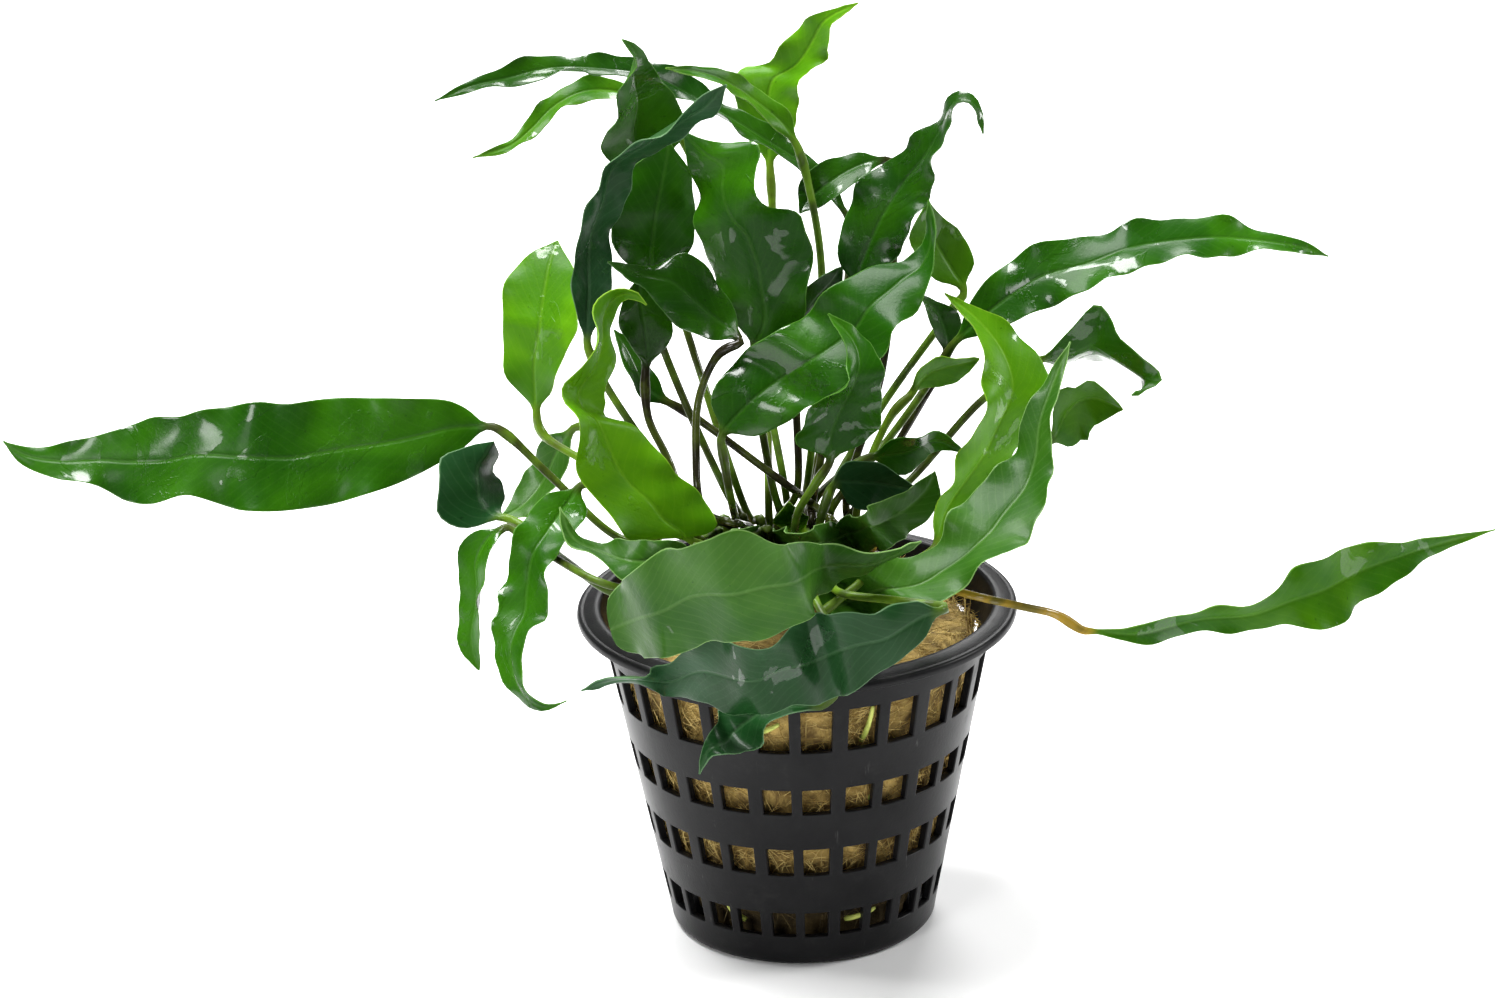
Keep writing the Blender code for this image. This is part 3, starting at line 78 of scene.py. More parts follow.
# Each leaf: its name, the stalk from the rhizome outwards as (across, up, near), the
# depths (near) of the blade's base, middle and tip, how far the left margin stands
# nearer than the right one, then both margins from base to tip as (across, up).
LEAVES = (
    ("leaf_far_left", ((-22.7, 8.4, 6), (-31.9, 16.8, 6), (-37.9, 22.7, 5)), (5, 8, 0), -3,
     ((-39.8, 23.7), (-44.6, 27), (-52, 27.6), (-61, 27.9), (-66.2, 27.1), (-70.4, 27.6),
      (-76.6, 26.8), (-80.4, 25.8), (-85, 25.8), (-90.6, 23.9), (-96, 22.7), (-100.6, 22.4),
      (-104.1, 23.2)),
     ((-39.8, 23.7), (-44.6, 20.2), (-49.8, 17.4), (-57, 14.8), (-66, 13.2), (-72, 13.1),
      (-76.4, 14.5), (-80, 15.4), (-84.6, 14.3), (-88.4, 15.1), (-91.6, 16.9), (-97.4, 18.1),
      (-102.2, 20.4), (-104.1, 23.2))),
    ("leaf_dark_curl", ((-23.1, 1.1, 22), (-30.5, 5.9, 15), (-35.8, 10.3, 10)), (9, 8, 4), 5,
     ((-38.1, 11.6), (-42.4, 10.7), (-46.3, 12.3), (-46.2, 16.2), (-46.2, 18.7), (-44, 20.2),
      (-41.9, 21.3), (-39.4, 21.6)),
     ((-38.1, 11.6), (-38.4, 13.2), (-37.6, 15.2), (-38.5, 17.6), (-38.2, 19.6), (-39.4, 21.6))),
    ("leaf_left_twist", ((-16, 1, 27), (-25, 2.5, 24), (-33, 7, 18)), (15, 15, 13), 3,
     ((-38, 10.4), (-39.8, 7.2), (-40.6, 3.9), (-41.4, 0.1), (-41.6, -3.6), (-41.6, -6.3),
      (-42, -8.4)),
     ((-38, 10.4), (-42.2, 9.6), (-44.3, 6.5), (-43.8, 3.6), (-43.6, 0.9), (-44.6, -3.5),
      (-44.1, -5.9), (-42, -8.4))),
    ("leaf_grey_left", ((-13, 12, 0), (-19, 18, -7), (-25.2, 22.8, -11)), (-13, -15, -10), 3,
     ((-28.9, 23.2), (-29.4, 19), (-32, 14.2), (-35, 11.7), (-38.9, 11.4)),
     ((-28.9, 23.2), (-32.6, 22), (-35, 17.4), (-37.2, 14), (-38.9, 11.4))),
    ("leaf_left_tail", ((-13, 8.5, 13), (-19, 12.5, 15), (-25, 15.8, 15)), (15, 20, 27), 2,
     ((-28.4, 15.5), (-27.2, 12.4), (-29.2, 8.8), (-32.4, 5.4), (-32.4, 1), (-33.6, -2.6),
      (-36, -5.6), (-36.3, -9), (-35, -12), (-32.8, -13.4), (-30.6, -12.7)),
     ((-28.4, 15.5), (-33, 14.3), (-36.6, 9.4), (-38, 4.4), (-39, 1.6), (-38.8, -0.8),
      (-40.2, -3), (-39.5, -7.6), (-37.6, -11.4), (-34.8, -13.8), (-30.6, -12.7))),
    ("leaf_bright_wave", ((-8.6, 5.5, 15), (-11.5, 7, 17)), (18, 19, 12), 4,
     ((-14.5, 8.4), (-22.5, 8.6), (-24.6, 11.6), (-28.2, 16.6), (-29.3, 21), (-28.8, 24.6),
      (-30.3, 28.4), (-27.6, 31.4), (-26.4, 35), (-25.8, 38.8), (-23.2, 41.4), (-20.6, 41.2),
      (-18.9, 39.2)),
     ((-14.5, 8.4), (-10.4, 9.6), (-12.4, 14.2), (-16.6, 17.4), (-19.8, 22.4), (-22.2, 24.1),
      (-25, 24.8), (-25.9, 27.6), (-23.8, 30.6), (-23, 33.4), (-23.6, 37), (-22.4, 39.8),
      (-20.2, 40), (-18.9, 39.2))),
    ("leaf_rim_left", ((-6, 3.6, 18), (-9, 4, 20)), (21, 22, 20), 2,
     ((-12, 4.6), (-17, 3.4), (-22.6, 3), (-26, 5.6), (-30.4, 8.6), (-30.9, 12.8)),
     ((-12, 4.6), (-15, 7.6), (-19.5, 8.2), (-24.8, 7.8), (-28.6, 9.2), (-30.9, 12.8))),
    ("leaf_front_broad", ((-3, 1.4, 21), (-10, -1.4, 23.5), (-18, -3.4, 25)), (28, 33, 31), 6,
     ((-22.6, -3.2), (-24.8, -1.6), (-24.9, 0.6), (-20.6, 4.8), (-15.8, 7), (-11.6, 7.8),
      (-9.4, 8.5), (-6.4, 8.7), (-1.6, 7.3), (2, 7.5), (5.4, 6.4), (9.4, 5.7), (13.6, 6.4),
      (16.6, 7.2)),
     ((-22.6, -3.2), (-24.2, -5.2), (-22.6, -6.7), (-19.4, -7.2), (-15.4, -7.4),
      (-11.8, -5.4), (-8.8, -5.4), (-6, -6.2), (-2.6, -5), (1.6, -2.4), (3.4, 0.4),
      (6, 2.4), (10.2, 3.2), (16.6, 7.2))),
    ("leaf_bright_oval", ((-19, 12, 4.6), (-27, 18.4, 0), (-33.1, 22.7, -4)), (-4, -2, -9), -4,
     ((-33.7, 25.2), (-37.1, 30.1), (-37.9, 36), (-37.3, 41.6), (-35.1, 45.7), (-30.4, 47.9)),
     ((-33.7, 25.2), (-31.3, 28.5), (-29.9, 32.2), (-28.1, 36.6), (-27.9, 43), (-30.4, 47.9))),
    ("leaf_long_arch", ((2, 13, -6), (5, 26, -12), (7.6, 41, -14)), (-13, -12, -2), 3,
     ((8, 50), (5.4, 52.8), (1.6, 56.4), (-3.1, 59.5), (-9, 63.7), (-15.5, 67),
      (-22, 69.3), (-29.1, 69.8), (-35, 68.4), (-40.1, 68), (-46.2, 66.8)),
     ((8, 50), (5.9, 55.3), (1.6, 59.4), (-4, 63.2), (-9.4, 66.4), (-16.4, 71), (-23, 71.7),
      (-33.2, 72.2), (-37.2, 70.8), (-41.5, 69.4), (-46.2, 66.8))),
    ("leaf_arch_under", ((-1, 13, -4), (-4, 30, -13), (-9, 50, -18)), (-18, -15, -6), 2,
     ((-16, 64.6), (-22, 66.2), (-27.2, 66), (-30.4, 64.2), (-33.4, 61.4), (-36.6, 59.8),
      (-41.3, 59.2)),
     ((-16, 64.6), (-20, 68), (-25.4, 69.3), (-30.7, 67.3), (-33.6, 64.4), (-36.4, 61.4),
      (-41.3, 59.2))),
    ("leaf_hooked_top", ((-6, 11, -1), (-12, 30, -9), (-17, 48, -12)), (-11, -6, 3), 4,
     ((-18.6, 55.6), (-24.9, 60.2), (-23.2, 64.9), (-21.8, 68.8), (-20, 71.4), (-21.3, 74.3)),
     ((-18.6, 55.6), (-14.6, 61), (-14.6, 66.4), (-17.4, 69.8), (-19, 73.2), (-21.3, 74.3))),
    ("leaf_dark_sweep", ((-13, 10.4, 7), (-19, 20, 7), (-24.6, 29, 6)), (5, 9, 12), 3,
     ((-26.8, 34.1), (-28.4, 38.8), (-28.4, 48.2), (-26.1, 52.8), (-24.8, 57.6), (-20, 60.4),
      (-15, 63.3), (-10.6, 67), (-7.7, 68)),
     ((-26.8, 34.1), (-24.2, 40), (-23.6, 47.2), (-22, 53), (-20.6, 57), (-16, 60.2),
      (-12, 63.2), (-9, 64.2), (-7.7, 68))),
    ("leaf_broad_wet", ((-9, 14.5, 3), (-14, 26, 1), (-17.6, 36, 0)), (0, 2, 0), 3,
     ((-18.6, 42), (-22.8, 46.6), (-23, 52.6), (-20.4, 57.2), (-15.4, 60.7)),
     ((-18.6, 42), (-13.8, 44.6), (-12, 50.6), (-12.4, 56), (-15.4, 60.7))),
    ("leaf_broad_pale", ((-2.6, 14, 2), (-4, 22, 3), (-4.8, 29, 3)), (3, 5, 1), -4,
     ((-5, 33.2), (-8.6, 38.4), (-10.6, 43), (-11.8, 48.5), (-12.6, 54), (-13.2, 58.5),
      (-13.6, 61.9)),
     ((-5, 33.2), (1.4, 36.4), (2.7, 42), (2.8, 45.4), (1.9, 48), (0.8, 50.4), (-2.4, 51.9),
      (-4, 54.8), (-4.1, 57.4), (-3.4, 59.8), (-8.5, 60.2), (-13.6, 61.9))),
    ("leaf_dark_point", ((-14.2, 13, 9), (-16.6, 19, 8), (-18.9, 24, 7), (-19.3, 27.3, 6)),
     (5, 5, 4), 2,
     ((-19.2, 30.7), (-21.6, 34.4), (-22.9, 37.4), (-21.8, 40.6), (-20, 42.6)),
     ((-19.2, 30.7), (-16.8, 33.3), (-15.7, 37), (-17.4, 40.6), (-20, 42.6))),
    ("leaf_dark_hidden", ((4.3, 10.8, 4), (-4.5, 17.8, 3), (-12.8, 24.2, 1)), (0, 0, -2), 2,
     ((-16.1, 26.2), (-18.8, 26.2), (-20.5, 27.6), (-22.2, 31.4), (-23.2, 36)),
     ((-16.1, 26.2), (-17.2, 28.6), (-18.6, 31), (-20.4, 34), (-23.2, 36))),
    ("leaf_left_point", ((-12.3, 12.6, 14), (-12.8, 19.7, 12), (-12.2, 26.9, 10),
                         (-9.4, 32.6, 10)), (9, 9, 10), 3,
     ((-6.4, 34.2), (-11.6, 34.5), (-15.5, 36.9), (-19.6, 41.2), (-23.9, 45)),
     ((-6.4, 34.2), (-7.3, 38.4), (-10.3, 43), (-13.6, 45.7), (-18.7, 44.4), (-23.9, 45))),
    ("leaf_dark_diagonal", ((-7.9, 11.2, 11), (-9, 17.4, 12)), (12, 15, 8), -4,
     ((-9.4, 22), (-10.6, 26.4), (-8, 31), (-4.9, 33.4), (1.4, 37.1), (7.4, 41.8),
      (12.2, 44.1), (15.4, 43.9), (17.6, 45.8), (18.2, 49), (18.6, 52.2)),
     ((-9.4, 22), (-5, 21.5), (-1, 23.2), (4.5, 26.2), (11, 30.4), (12.9, 31.8), (14, 35),
      (17, 38.3), (19, 42.4), (19.7, 47), (18.6, 52.2))),
    ("leaf_small_upright", ((0.5, 11.6, 15), (2.9, 15.2, 17)), (18, 20, 18), 3,
     ((5, 18.3), (0.2, 20.6), (1.6, 24.6), (6.6, 28.4), (7.4, 31.6), (5, 37.5)),
     ((5, 18.3), (9, 20.2), (11.6, 24.8), (11.5, 29.7), (9.6, 34.6), (5, 37.5))),
    ("leaf_dark_low", ((3.4, 10.4, 8), (4.4, 13.4, 7)), (6, 6, 6), 2,
     ((5.2, 15.2), (6, 17.6), (9.6, 18.3), (13, 16.8), (17, 13.6)),
     ((5.2, 15.2), (7.4, 12.2), (10.6, 11.9), (13.8, 12.6), (17, 13.6))),
    ("leaf_rim_back", ((-7.6, 7.6, 14), (-10.4, 7.2, 15)), (14, 13, 8), 4,
     ((-13.4, 7.2), (-6.6, 9.6), (1.4, 9.4), (8, 11.4), (14.4, 14.2), (18.6, 16.4)),
     ((-13.4, 7.2), (-6, 5.6), (2, 4.8), (9.6, 6.2), (16, 8.8), (19, 13), (18.6, 16.4))),
    ("leaf_thread_tip", ((3, 13.4, 3), (6.5, 16.4, 3)), (2, 2, 0), 2,
     ((10.1, 18.5), (12.5, 20.6), (16.6, 21.5), (20, 21.4), (22.4, 18.9)),
     ((10.1, 18.5), (13.4, 16.2), (16.4, 16.9), (17.8, 19.2), (22.4, 18.9))),
    ("leaf_gable", ((9, 9.6, 4), (16, 16, -2), (25, 25.6, -4)), (-4, -3, 2), 4,
     ((32.4, 30.6), (36.6, 33.9), (40.2, 36.7), (42.6, 33.4), (45.9, 30.3), (48.1, 27.6),
      (44.7, 25.8)),
     ((32.4, 30.6), (37, 29.2), (41, 30), (44.2, 28.6), (46.2, 26.8), (44.7, 25.8))),
    ("leaf_crumpled_right", ((10.6, 9.2, 7), (18, 12, 2), (27, 16.8, -5)), (-7, -7, -4), 3,
     ((34, 20.1), (34.4, 25.4), (38.2, 28.6), (41.6, 26.6), (43.5, 23.9)),
     ((34, 20.1), (36, 19), (38.7, 21.5), (41, 22.6), (43.5, 23.9))),
    ("leaf_bright_twist", ((12, 4, 13), (15.8, 4.6, 12.6)), (12, 10, 4), 4,
     ((18.4, 6.4), (18.2, 10.6), (20, 15.3), (22.6, 20.2), (25, 26), (24.9, 31), (23.6, 35.4),
      (20.4, 39.8)),
     ((18.4, 6.4), (22.7, 12.2), (28.4, 17.4), (31.2, 22.4), (33.6, 27.8), (31.6, 32.6),
      (26.2, 36.7), (20.4, 39.8))),
    ("leaf_long_right", ((5.4, 12.6, -2), (12.6, 20.8, -6), (18.4, 28.5, -8)), (-8, -6, -14), -4,
     ((21.5, 33.2), (24.1, 38.9), (30.6, 45), (37.8, 46.6), (45.8, 48.3), (54.7, 49.1),
      (62.9, 47), (68, 45.4), (71, 43.5)),
     ((21.5, 33.2), (28.2, 35.1), (35.2, 38.2), (40.7, 40), (46, 42.6), (53.9, 43.5),
      (62.5, 44.3), (71, 43.5))),
    ("leaf_pale_small", ((8.2, 11.6, 1), (10.2, 18.4, -2), (13.4, 24.4, -4)), (-5, -7, -7), 2,
     ((15.7, 26.6), (16.2, 29.4), (19.4, 31.6), (24.8, 31.1)),
     ((15.7, 26.6), (18.6, 27.7), (22.4, 28.6), (24.8, 31.1))),
    ("leaf_pale_pointed", ((4.6, 13.2, -3), (12, 25.4, -12), (20, 36, -14)), (-15, -15, -13), 2,
     ((23.1, 40.2), (19.1, 41.6), (16, 46.2), (16.4, 49), (18.6, 52)),
     ((23.1, 40.2), (24.3, 43.8), (22.6, 47.9), (20.4, 49.9), (18.6, 52))),
    ("leaf_front_right", ((8.6, 2.2, 21), (5, -0.6, 23.4), (2.6, -2.6, 24.6)), (26, 25, 11), -4,
     ((3, -3), (2, 0.6), (6.6, 3), (12, 4.4), (17.4, 5.9), (19.8, 7.6), (21, 11), (24.6, 14),
      (27.4, 16.6), (29.6, 20), (31.4, 25), (36.8, 33)),
     ((3, -3), (8, -3.2), (14, -1.8), (19.8, -1), (22.4, 1.6), (26, 4.2), (29.8, 5.4),
      (31.4, 8.6), (33.6, 12), (34.2, 16.4), (34, 20.6), (35.2, 26), (36.8, 33))),
    ("leaf_front_low", ((6, 0.6, 24), (14, -0.6, 31), (19.4, -1.6, 34)), (36, 40, 34), -5,
     ((18.9, -2), (17, -5), (13.6, -8.4), (9.6, -10.7), (5.4, -13), (2, -14.1), (-1.4, -13.6),
      (-5.6, -15.3), (-9, -14.9), (-12.4, -12.8), (-16.6, -13), (-20.6, -10.6), (-25, -10.9),
      (-28.6, -11.4)),
     ((18.9, -2), (16.4, -0.6), (12.8, -1.2), (10.6, -2.1), (5, -1.5), (0.4, -3), (-3.4, -5.3),
      (-6.4, -6.3), (-10.8, -5), (-14, -5.7), (-17.4, -8.2), (-20.6, -9.6), (-24.6, -9.5),
      (-28.6, -11.4))),
    ("leaf_front_lowest", ((2.4, 0, 23), (5, -6, 30.5), (5, -12, 33)), (33, 33, 30), 2,
     ((2.6, -14.2), (-1.6, -15.4), (-4.4, -17.2), (-5.4, -19.4), (-8, -20.6), (-11.6, -20.4),
      (-13.3, -22.7)),
     ((2.6, -14.2), (-4, -12.6), (-10.2, -13.4), (-11, -16.6), (-12.6, -18.8),
      (-13.3, -22.7))),
    ("leaf_young", ((1.6, 7, 13), (1.2, 8, 13)), (12.5, 12, 12), 1,
     ((0.6, 8.8), (-1.6, 9), (-3.2, 10.4), (-0.7, 12.8)),
     ((0.6, 8.8), (1.9, 9.8), (1.2, 11.6), (-0.7, 12.8))),
    ("leaf_top_back", ((-3.4, 12.6, -4), (-3, 30, -18), (-2, 48, -25)), (-26, -26, -20), -3,
     ((-2.2, 57.2), (-5.8, 62.4), (-6.2, 67.6), (-5.4, 70.4), (-1.8, 70.7), (0.4, 73.4),
      (2.6, 76.2), (5.2, 77.2), (9.9, 78.4)),
     ((-2.2, 57.2), (1, 60.8), (1.8, 65.8), (3.5, 69.2), (5.2, 70.8), (6.5, 73.2),
      (6.6, 75.4), (9.9, 78.4))),
    ("leaf_top_arch", ((1.4, 13.4, -2), (4.3, 42.1, -7), (2.8, 54.6, -6)), (-6, -5, 2), 2,
     ((1.4, 59.8), (-2.3, 62.6), (-6, 66.2), (-10.4, 68.6), (-15.6, 70.4)),
     ((1.4, 59.8), (0.6, 63.8), (-3.6, 67.2), (-9, 70.2), (-15.6, 70.4))),
    ("leaf_long_thread", ((2.6, 13.8, 4), (6.4, 30, 2)), (2, 4, 10), -4,
     ((8.9, 40.4), (6.9, 44), (7.8, 51), (11.7, 56.4), (15.8, 59), (19.7, 62.6),
      (22.4, 66.2), (25.4, 64.8), (26, 60.7)),
     ((8.9, 40.4), (13.9, 44.5), (17.6, 50.3), (19.3, 54.4), (20.7, 59.5), (21.9, 63.4),
      (23.6, 64.8), (25, 63.6), (26, 60.7))),
    ("leaf_dark_back", ((6.8, 12.8, -4), (12, 30, -10), (14, 48, -12)), (-10, -8, -6), 2,
     ((13.4, 57.6), (9.6, 55), (5.4, 51.8), (1.6, 50.8)),
     ((13.4, 57.6), (9.6, 58.6), (4.8, 57.2), (1.6, 54.4), (1.6, 50.8))),
    ("leaf_glint", ((0.4, 14.4, 1), (0.6, 27, -1)), (-2, -1, 0), 2,
     ((1.6, 37), (1.6, 40.4), (4.2, 42.6), (7, 43.6)),
     ((1.6, 37), (4.8, 38), (6.8, 40.4), (7, 43.6))),
    ("leaf_dark_stub", ((7.4, 10.8, -2), (13.6, 20, -9), (19, 28.8, -11)), (-11, -11, -9), 2,
     ((20.4, 31.6), (18.6, 34.6), (17.4, 39.6)),
     ((20.4, 31.6), (22.3, 34), (21.6, 37.4), (17.4, 39.6))),
    ("leaf_far_right", ((10.2, 5.6, 12), (21, 0.6, 22), (29.3, -1.6, 23.5), (34.2, -2.9, 21)),
     (20, 17, 8), 1.8,
     ((37.6, -5), (44, -4.7), (48.8, -3.3), (54, -2.4), (60.4, -1.5), (66.8, 3.2), (72.4, 5.3),
      (79, 5.9), (86, 6.4), (92, 7)),
     ((37.6, -5), (46.3, -6.9), (52.9, -5.4), (59.4, -5.4), (64, -5), (70.5, -5), (75, -1.8),
      (80, 1.6), (86, 4.8), (92, 7))),
)




def value_noise(places: np.ndarray, size: float, seed: int) -> np.ndarray:
    """Give smooth random values from -1 to 1.

    Random numbers from a hash stand on a cubic lattice of the given size, and each place
    takes the soft-stepped blend of the eight around it.

    Args:
        places: Places in millimetres, in the last axis.
        size: Lattice spacing in millimetres.
        seed: Which set of random numbers.

    Returns:
        One value for each place.
    """
    scaled = np.asarray(places, float) / size + 40.0
    cell = np.floor(scaled).astype(np.int64)
    part = scaled - cell
    part = part * part * (3 - 2 * part)
    total = np.zeros(scaled.shape[:-1])
    for corner in range(8):
        step = np.array(((corner >> 2) & 1, (corner >> 1) & 1, corner & 1))
        at = cell + step
        mixed = (at[..., 0] * 73856093) ^ (at[..., 1] * 19349663) ^ (at[..., 2] * 83492791)
        mixed = (mixed + seed * 2654435) & 0x7FFFFFFF
        mixed = (mixed ^ (mixed >> 13)) * 1274126177 & 0x7FFFFFFF
        weight = np.prod(np.where(step == 1, part, 1 - part), axis=-1)
        total += weight * ((mixed >> 7) % 4096 / 2047.5 - 1.0)
    return total


def layered_noise(places: np.ndarray, layers: Sequence) -> np.ndarray:
    """Add up layers of value noise.

    Args:
        places: Places in millimetres, in the last axis.
        layers: Height, lattice spacing and seed of each.

    Returns:
        One value for each place.
    """
    return sum(height * value_noise(places, size, seed) for height, size, seed in layers)


def on_board(places: np.ndarray) -> np.ndarray:
    """Turn board places into places of the frame, in millimetres.

    The board leans back through the middle of the rim. A place is put on it by its first
    two values and slid towards the eye by its third.

    Args:
        places: Across, up and near, in the last axis.

    Returns:
        X, Y and Z, in the last axis.
    """
    middle = np.array((0.0, 0.0, POT_HEIGHT))
    eye = middle + EYE_DISTANCE * FACE
    flat = middle + places[..., :1] * ACROSS + places[..., 1:2] * RISE
    return flat + (eye - flat) * (places[..., 2:] / EYE_DISTANCE)


def to_board(places: np.ndarray) -> np.ndarray:
    """Turn places of the frame into board places, the reverse of on_board.

    Args:
        places: X, Y and Z in millimetres, in the last axis.

    Returns:
        Across, up and near, in the last axis.
    """
    offset = np.asarray(places) - np.array((0.0, 0.0, POT_HEIGHT))
    near = offset @ FACE
    spread = 1.0 - near / EYE_DISTANCE
    return np.stack((offset[..., 0] / spread, offset @ RISE / spread, near), axis=-1)


def stand_up(places: Sequence) -> np.ndarray:
    """Bring the higher places nearer, so that the plant stands upright over its pot."""
    places = np.array(places, float)
    places[:, 2] += RISE_NEAR * np.maximum(places[:, 1] - RISE_START, 0.0)
    return places


def smooth_path(points: Sequence, samples: Sequence) -> np.ndarray:
    """Sample a soft cubic curve through the points.

    Args:
        points: The points, in order.
        samples: Shares of the curve's length, from 0 to 1.

    Returns:
        One place for each share.
    """
    points = np.asarray(points, float)
    chords = np.sqrt(np.linalg.norm(np.diff(points, axis=0), axis=1)) + 1e-6
    knots = np.concatenate(((0.0,), np.cumsum(chords)))
    slopes = np.gradient(points, knots, axis=0)
    fine = np.linspace(0.0, knots[-1], 40 * len(points))
    cell = np.clip(np.searchsorted(knots, fine, side="right") - 1, 0, len(points) - 2)
    width = (knots[cell + 1] - knots[cell])[:, None]
    t = (fine - knots[cell])[:, None] / width
    curve = ((2 * t**3 - 3 * t**2 + 1) * points[cell] + (t**3 - 2 * t**2 + t) * width * slopes[cell]
             + (3 * t**2 - 2 * t**3) * points[cell + 1] + (t**3 - t**2) * width * slopes[cell + 1])
    run = np.concatenate(((0.0,), np.cumsum(np.linalg.norm(np.diff(curve, axis=0), axis=1))))
    wanted = np.asarray(samples) * run[-1]
    return np.stack([np.interp(wanted, run, curve[:, k]) for k in range(points.shape[1])], axis=-1)


def path_length(points: Sequence) -> float:
    """Give the length of a chain of points."""
    return float(np.linalg.norm(np.diff(np.asarray(points, float), axis=0), axis=1).sum())


def soft_step(values: np.ndarray) -> np.ndarray:
    """Give 0 below 0, 1 above 1, and a soft rise between."""
    values = np.clip(values, 0.0, 1.0)
    return values * values * (3 - 2 * values)


def soften(values: np.ndarray, passes: int) -> np.ndarray:
    """Average each value with its neighbours, keeping the first one.

    Args:
        values: The run of values.
        passes: How many times to do so.

    Returns:
        The softened run.
    """
    for _ in range(passes):
        inner = (values[:-2] + 2 * values[1:-1] + values[2:]) / 4
        values = np.concatenate((values[:1], inner, (values[-1:] + values[-2:-1]) / 2))
    return values


def finer(values: np.ndarray, count: int) -> np.ndarray:
    """Resample a run of rows by a Catmull-Rom curve.

    Args:
        values: The rows.
        count: How many rows are wanted.

    Returns:
        The new rows, at even steps from the first to the last.
    """
    last = len(values) - 1
    at = np.linspace(0.0, last, count)
    cell = np.minimum(at.astype(int), last - 1)
    t = (at - cell)[:, None]
    before = values[np.maximum(cell - 1, 0)]
    start, end = values[cell], values[cell + 1]
    after = values[np.minimum(cell + 2, last)]
    return 0.5 * (2 * start + (end - before) * t + (2 * before - 5 * start + 4 * end - after) * t**2
                  + (3 * start - before - 3 * end + after) * t**3)


def unit(vectors: np.ndarray) -> np.ndarray:
    """Scale vectors to length one."""
    return vectors / (np.linalg.norm(vectors, axis=-1, keepdims=True) + 1e-9)


def tube_faces(rows: int, sides: int) -> list:
    """Give the quads between closed rings of places, and a flat cap on each end.

    Args:
        rows: Number of rings.
        sides: Places in each ring.

    Returns:
        The faces, as lists of vertex numbers.
    """
    row, side = np.meshgrid(np.arange(rows - 1), np.arange(sides), indexing="ij")
    after = (side + 1) % sides
    quads = np.stack((row * sides + side, row * sides + after,
                      (row + 1) * sides + after, (row + 1) * sides + side), axis=-1)
    faces = quads.reshape(-1, 4).tolist()
    faces.append(list(range(sides))[::-1])
    faces.append(list(range((rows - 1) * sides, rows * sides)))
    return faces


def add_mesh(name: str, places: np.ndarray, faces: list, finish: bpy.types.Material,
             sharp: float = 60.0) -> bpy.types.Object:
    """Make an object from places in millimetres, at the origin, with outward faces.

    Args:
        name: The piece's name.
        places: Its vertices, in rows of three.
        faces: Its faces, as lists of vertex numbers.
        finish: Its material.
        sharp: The angle in degrees past which an edge stays sharp.

    Returns:
        The new object.
    """
    mesh = bpy.data.meshes.new(name)
    mesh.from_pydata((np.asarray(places).reshape(-1, 3) * MM).tolist(), [], faces)
    mesh.validate()
    mesh.materials.append(finish)
    mesh.shade_smooth()
    mesh.set_sharp_from_angle(angle=radians(sharp))
    item = bpy.data.objects.new(name, mesh)
    bpy.context.scene.collection.objects.link(item)
    return item


def tube(name: str, route: np.ndarray, radius: np.ndarray, sides: int,
         finish: bpy.types.Material) -> bpy.types.Object:
    """Make a round tube with closed rounded ends along a route.

    Args:
        name: The piece's name.
        route: Middle places in millimetres.
        radius: Its radius at each of them.
        sides: Places round each ring.
        finish: Its material.

    Returns:
        The tube.
    """
    ahead = unit(np.gradient(route, axis=0))
    side = unit(np.cross(ahead, (0.13, 0.31, 0.94)))
    over = np.cross(ahead, side)
    angles = 2 * pi * np.arange(sides) / sides
    share = np.linspace(-1, 1, len(route))
    radius = radius * np.sqrt(np.clip(1 - share**24, 0.02, 1.0))
    ring = (np.cos(angles)[None, :, None] * side[:, None, :]
            + np.sin(angles)[None, :, None] * over[:, None, :])
    return add_mesh(name, route[:, None, :] + radius[:, None, None] * ring,
                    tube_faces(len(route), sides), finish, SOFT_EDGES)


def paint(mesh: bpy.types.Mesh, name: str, values: np.ndarray) -> None:
    """Store one number for each vertex, for the material to read.

    Args:
        mesh: The piece's mesh.
        name: The attribute's name.
        values: A number for each vertex, in order.
    """
    layer = mesh.attributes.new(name, "FLOAT", "POINT")
    layer.data.foreach_set("value", np.ascontiguousarray(values, dtype=np.float32).ravel())


def paint_uv(mesh: bpy.types.Mesh, pairs: np.ndarray) -> None:
    """Store the piece's own UV map.

    Args:
        mesh: The piece's mesh.
        pairs: A pair for each vertex, in order.
    """
    corners = np.empty(len(mesh.loops), dtype=np.int32)
    mesh.loops.foreach_get("vertex_index", corners)
    layer = mesh.uv_layers.new(name="reach")
    layer.data.foreach_set("uv", np.ascontiguousarray(pairs[corners], dtype=np.float32).ravel())


def hand_over(piece: bpy.types.Object, slot: str, *nodes: str) -> None:
    """Ride a piece on the body and put it in its nodes' place.

    Args:
        piece: The finished piece.
        slot: Not used.
        nodes: The solids that it stands for, if any.
    """
    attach(piece, "root")
    if nodes:
        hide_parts(*nodes)
    LOG.info("%s: %d faces", piece.name, len(piece.data.polygons))


